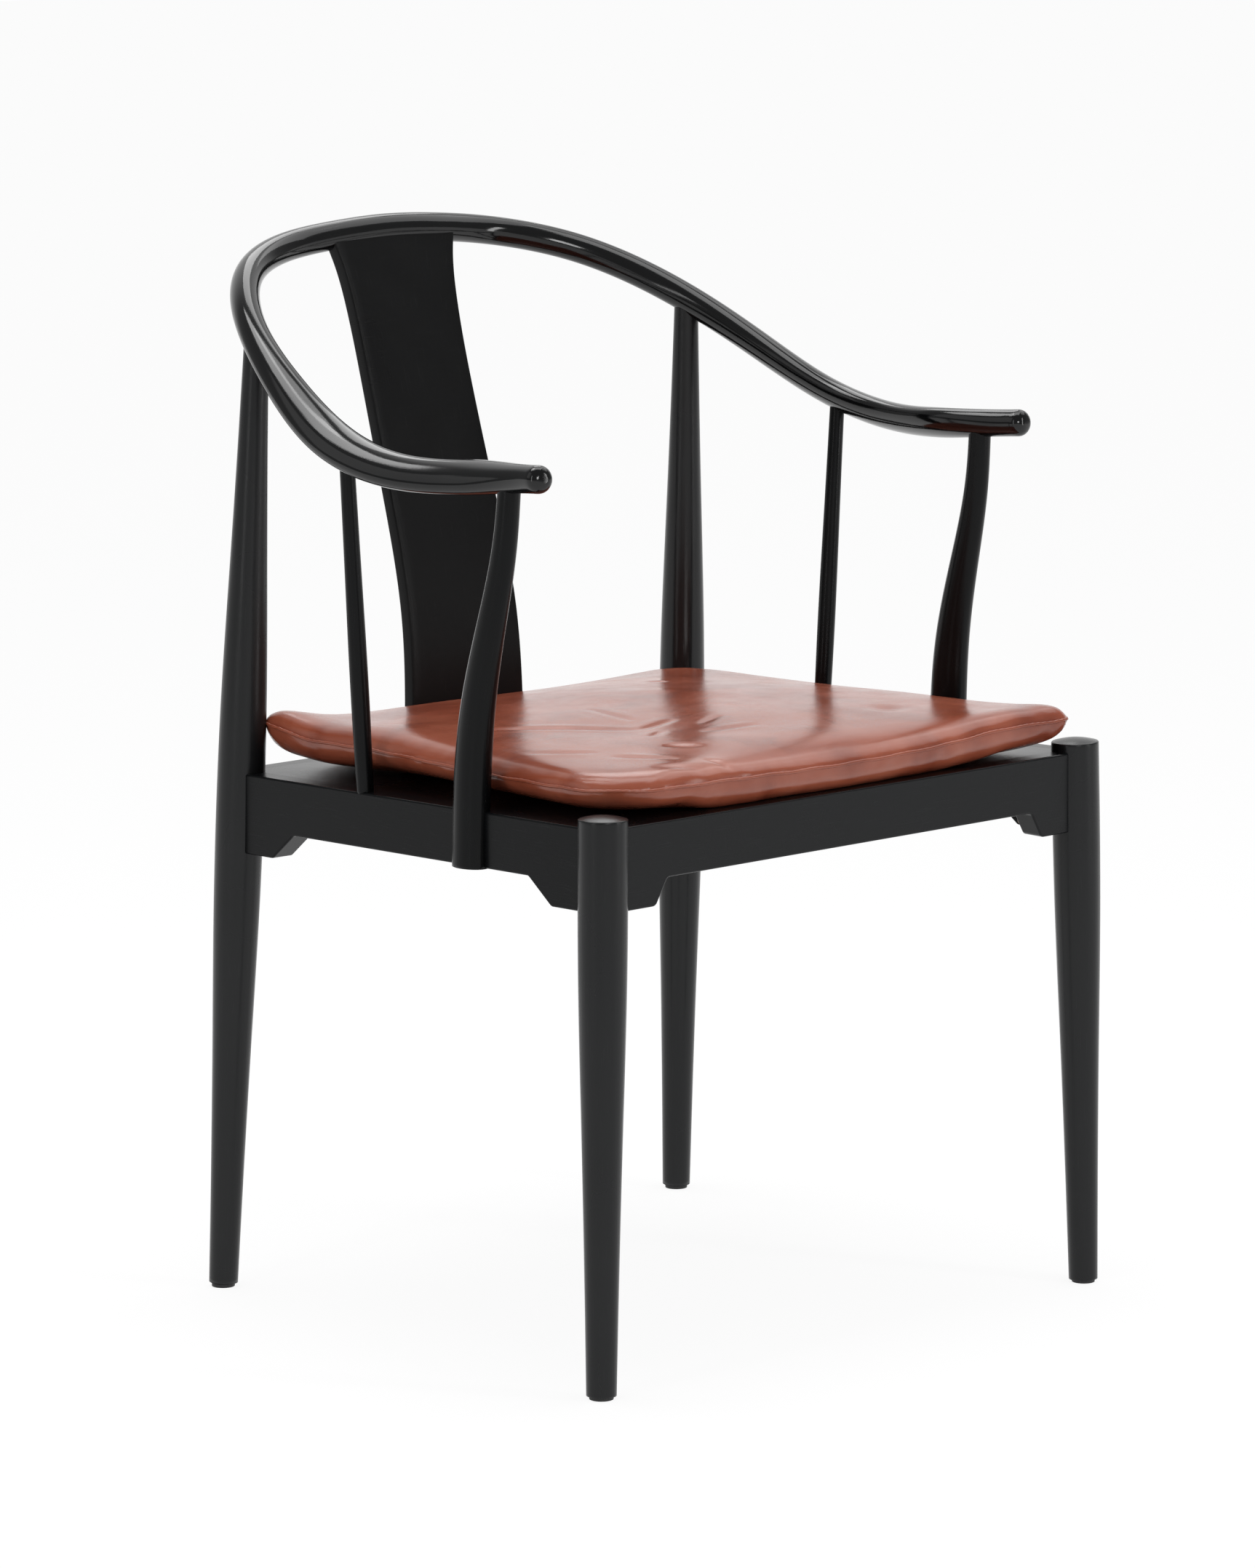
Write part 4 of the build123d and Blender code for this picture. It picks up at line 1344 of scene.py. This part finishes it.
def put(mesh: Mesh, points: Array) -> None:
    """Set the positions of a mesh's points."""
    mesh.vertices.foreach_set("co", points.ravel())
    mesh.update()


def merge(mesh: Mesh, distance: float = 1e-6) -> None:
    """Weld points that lie on each other, so that a ring of rings closes on itself."""
    work = bmesh.new()
    work.from_mesh(mesh)
    bmesh.ops.remove_doubles(work, verts=work.verts, dist=distance)
    work.to_mesh(mesh)
    work.free()
    mesh.update()


# ------------------------------------------------------------------------------ studio
@dataclass(frozen=True)
class Lamp:
    """One soft rectangular lamp."""

    name: str
    place: Triple
    aim: Triple
    width: float
    height: float
    power: float
    mirrored_only: bool = False

    def build(self) -> None:
        """Hang the lamp, facing its aim, lighting everything or only the shiny faces."""
        light = bpy.data.lights.new(self.name, "AREA")
        light.shape = "RECTANGLE"
        light.size, light.size_y = self.width, self.height
        light.energy = self.power
        holder = bpy.data.objects.new(self.name, light)
        holder.location = self.place
        holder.visible_camera = False
        holder.visible_diffuse = not self.mirrored_only
        way = Vector(self.aim) - Vector(self.place)
        holder.rotation_euler = way.to_track_quat("-Z", "Y").to_euler()
        bpy.context.scene.collection.objects.link(holder)


def grown(tree: bpy.types.NodeTree, *kinds: str) -> list[Node]:
    """Add shader nodes to a tree, one of each kind."""
    return [tree.nodes.new(f"ShaderNode{kind}") for kind in kinds]


def wire(tree: bpy.types.NodeTree, *links: tuple) -> None:
    """Link nodes, each link given as node, output, node and input."""
    for source, out, target, into in links:
        tree.links.new(source.outputs[out], target.inputs[into])


@dataclass
class Studio:
    """White room: floor, sky, lamps and camera."""

    camera_place: Triple = (-3.49415, -3.75481, 1.28949)
    camera_aim: Triple = (0.0801, 0.0697, 0.3727)
    lens: float = 154.51
    sensor: float = 36.0
    far_clip: float = 60.0
    sky: float = 0.40
    ceiling: float = 0.28
    backdrop: Triple = (0.67, 0.72, 0.17)
    backdrop_edge: Pair = (0.60, 0.86)
    floor_half: float = 14.0
    floor_colour: Triple = (0.86, 0.86, 0.865)
    floor_glow: float = 0.80
    glow_strength: float = 1.12
    lamps: tuple[Lamp, ...] = (
        Lamp("top_box", (0.1, 0.1, 2.6), (0.0, 0.0, 0.5), 1.8, 1.1, 22.0),
        Lamp("high_box", (-0.56, 1.39, 3.3), (0.0, 0.0, 0.7), 1.3, 1.0, 21.0, True),
        Lamp("rear_box", (1.36, 1.63, 2.82), (0.0, 0.0, 0.7), 1.2, 1.4, 15.0, True),
        Lamp("right_box", (2.0, -0.17, 2.93), (0.0, 0.0, 0.7), 2.4, 1.5, 19.0, True),
        Lamp("front_box", (-1.17, -2.76, 1.4), (0.0, 0.0, 0.7), 0.9, 0.6, 20.0, True),
        Lamp("left_box", (-2.29, 1.43, 2.0), (0.0, 0.0, 0.7), 1.8, 1.8, 5.0, True),
        Lamp("left_strip", (-2.7, -0.4, 1.2), (0.0, 0.0, 0.5), 0.30, 1.8, 6.0),
        Lamp("right_strip", (1.25, -2.6, 1.2), (0.0, 0.0, 0.5), 0.30, 1.8, 14.0),
    )

    @staticmethod
    def seen(tree: bpy.types.NodeTree) -> Node:
        """1 for rays from the camera, a mirror or glass, else 0: the largest of the three."""
        path, first, second = grown(tree, "LightPath", "Math", "Math")
        first.operation = second.operation = "MAXIMUM"
        wire(
            tree, (path, "Is Camera Ray", first, 0), (path, "Is Glossy Ray", first, 1),
            (first, 0, second, 0), (path, "Is Transmission Ray", second, 1),
        )
        return second

    def build_sky(self) -> None:
        """White where it is seen, and plain even light on the chair.

        A mirror shows the white backdrop behind the chair, and a dimmer room round it.
        """
        world = bpy.data.worlds.new("white_room")
        world.use_nodes = True
        tree = world.node_tree
        tree.nodes.clear()
        output, mix, plain, white, way, near, fall, path, level = grown(
            tree, "OutputWorld", "MixShader", "Background", "Background", "TexCoord", "VectorMath",
            "MapRange", "LightPath", "Math",
        )
        plain.inputs["Color"].default_value = white.inputs["Color"].default_value = (1, 1, 1, 1)
        plain.inputs["Strength"].default_value = self.sky
        near.operation = "DOT_PRODUCT"
        near.inputs[1].default_value = self.backdrop
        fall.interpolation_type = "SMOOTHSTEP"
        for index, value in enumerate((*self.backdrop_edge, self.ceiling, 1.0), start=1):
            fall.inputs[index].default_value = value
        level.operation = "MAXIMUM"
        wire(
            tree, (way, "Generated", near, 0), (near, "Value", fall, "Value"),
            (path, "Is Camera Ray", level, 0), (fall, "Result", level, 1),
            (level, 0, white, "Strength"), (self.seen(tree), 0, mix, "Fac"),
            (plain, 0, mix, 1), (white, 0, mix, 2), (mix, 0, output, "Surface"),
        )
        bpy.context.scene.world = world

    def build_floor(self) -> None:
        """Pale floor that keeps a faint shadow: matt paint under a white glow where seen."""
        half = self.floor_half
        corners = np.array([(-1, -1, 0), (1, -1, 0), (1, 1, 0), (-1, 1, 0)], float) * half
        mesh = bpy.data.meshes.new("floor")
        mesh.from_pydata(corners.tolist(), [], [(0, 1, 2, 3)])
        floor = bpy.data.objects.new("floor", mesh)
        bpy.context.scene.collection.objects.link(floor)
        material = bpy.data.materials.new("pale_floor")
        material.use_nodes = True
        tree = material.node_tree
        tree.nodes.clear()
        output, mix, paint, glow, share = grown(
            tree, "OutputMaterial", "MixShader", "BsdfDiffuse", "Emission", "Math"
        )
        share.operation = "MULTIPLY"
        share.inputs[1].default_value = self.floor_glow
        paint.inputs["Color"].default_value = (*self.floor_colour, 1.0)
        glow.inputs["Color"].default_value = (1.0, 1.0, 1.0, 1.0)
        glow.inputs["Strength"].default_value = self.glow_strength
        wire(
            tree, (self.seen(tree), 0, share, 0), (share, 0, mix, "Fac"),
            (paint, 0, mix, 1), (glow, 0, mix, 2), (mix, 0, output, "Surface"),
        )
        mesh.materials.append(material)

    def build_camera(self) -> None:
        """Long lens at the front left corner, a little above the seat."""
        camera = bpy.data.cameras.new("camera")
        camera.lens, camera.sensor_width, camera.sensor_fit = self.lens, self.sensor, "AUTO"
        camera.clip_end = self.far_clip
        holder = bpy.data.objects.new("camera", camera)
        holder.location = self.camera_place
        way = Vector(self.camera_aim) - Vector(self.camera_place)
        holder.rotation_euler = way.to_track_quat("-Z", "Y").to_euler()
        bpy.context.scene.collection.objects.link(holder)
        bpy.context.scene.camera = holder

    def build(self) -> None:
        """Set up the room."""
        bpy.context.scene.view_settings.view_transform = "Standard"
        self.build_camera()
        self.build_sky()
        self.build_floor()
        for lamp in self.lamps:
            lamp.build()
        LOG.info("studio: %d lamps", len(self.lamps))


def main() -> None:
    """Build the room, the chair and its cushion."""
    Studio().build()
    # Painted light and shade: the chair is one black lacquer, but each copy below has its own deep
    # and worn colours, set lighter or darker so that each part gets the brightness it shows under
    # these lamps. The legs' copy is painted lighter than the plain one.
    satin = BlackLacquer(
        "lacquer_satin", Grain.LENGTH, deep=(0.0110, 0.0117, 0.0127), worn=(0.0190, 0.0200, 0.0215),
    ).build()
    # Painted shade: the arm posts' and spindles' copy has much darker deep and worn colours.
    slender = BlackLacquer(
        "lacquer_slender", Grain.LENGTH, ior=1.25, deep=(0.0035, 0.0039, 0.0044),
        worn=(0.0090, 0.0096, 0.0104),
    ).build()
    # Painted shade: the crest rail's copy has much darker deep and worn colours.
    polished = BlackLacquer(
        "lacquer_polished", Grain.LENGTH, ior=1.45, gloss=(0.08, 0.14),
        deep=(0.0030, 0.0033, 0.0037), worn=(0.0060, 0.0064, 0.0070), pore_depth=0.00003,
    ).build()
    # Painted light: the splat's copy has a lighter deep colour than the plain one.
    board = BlackLacquer(
        "lacquer_board", Grain.LENGTH, scuffs=0.14, ior=1.22, gloss=(0.26, 0.36),
        deep=(0.0085, 0.0088, 0.0092), worn=(0.0150, 0.0154, 0.0160),
    ).build()
    rail = CrestRail()
    rail.build(polished)
    Legs().build(satin, rail)
    SideSupports().build(slender, rail)
    BackSplat().build(board)
    SeatFrame().build(
        BlackLacquer("lacquer_across", Grain.ALONG_X, ior=1.30).build(),
        # Painted shade: the side rails' copy has a darker deep colour than the front and back
        # rails' copy.
        BlackLacquer(
            "lacquer_fore_and_aft", Grain.ALONG_Y, ior=1.22, deep=(0.0048, 0.0053, 0.0060)
        ).build(),
    )
    LooseCushion().build(SeatLeather().build())


if __name__ == "__main__":
    main()
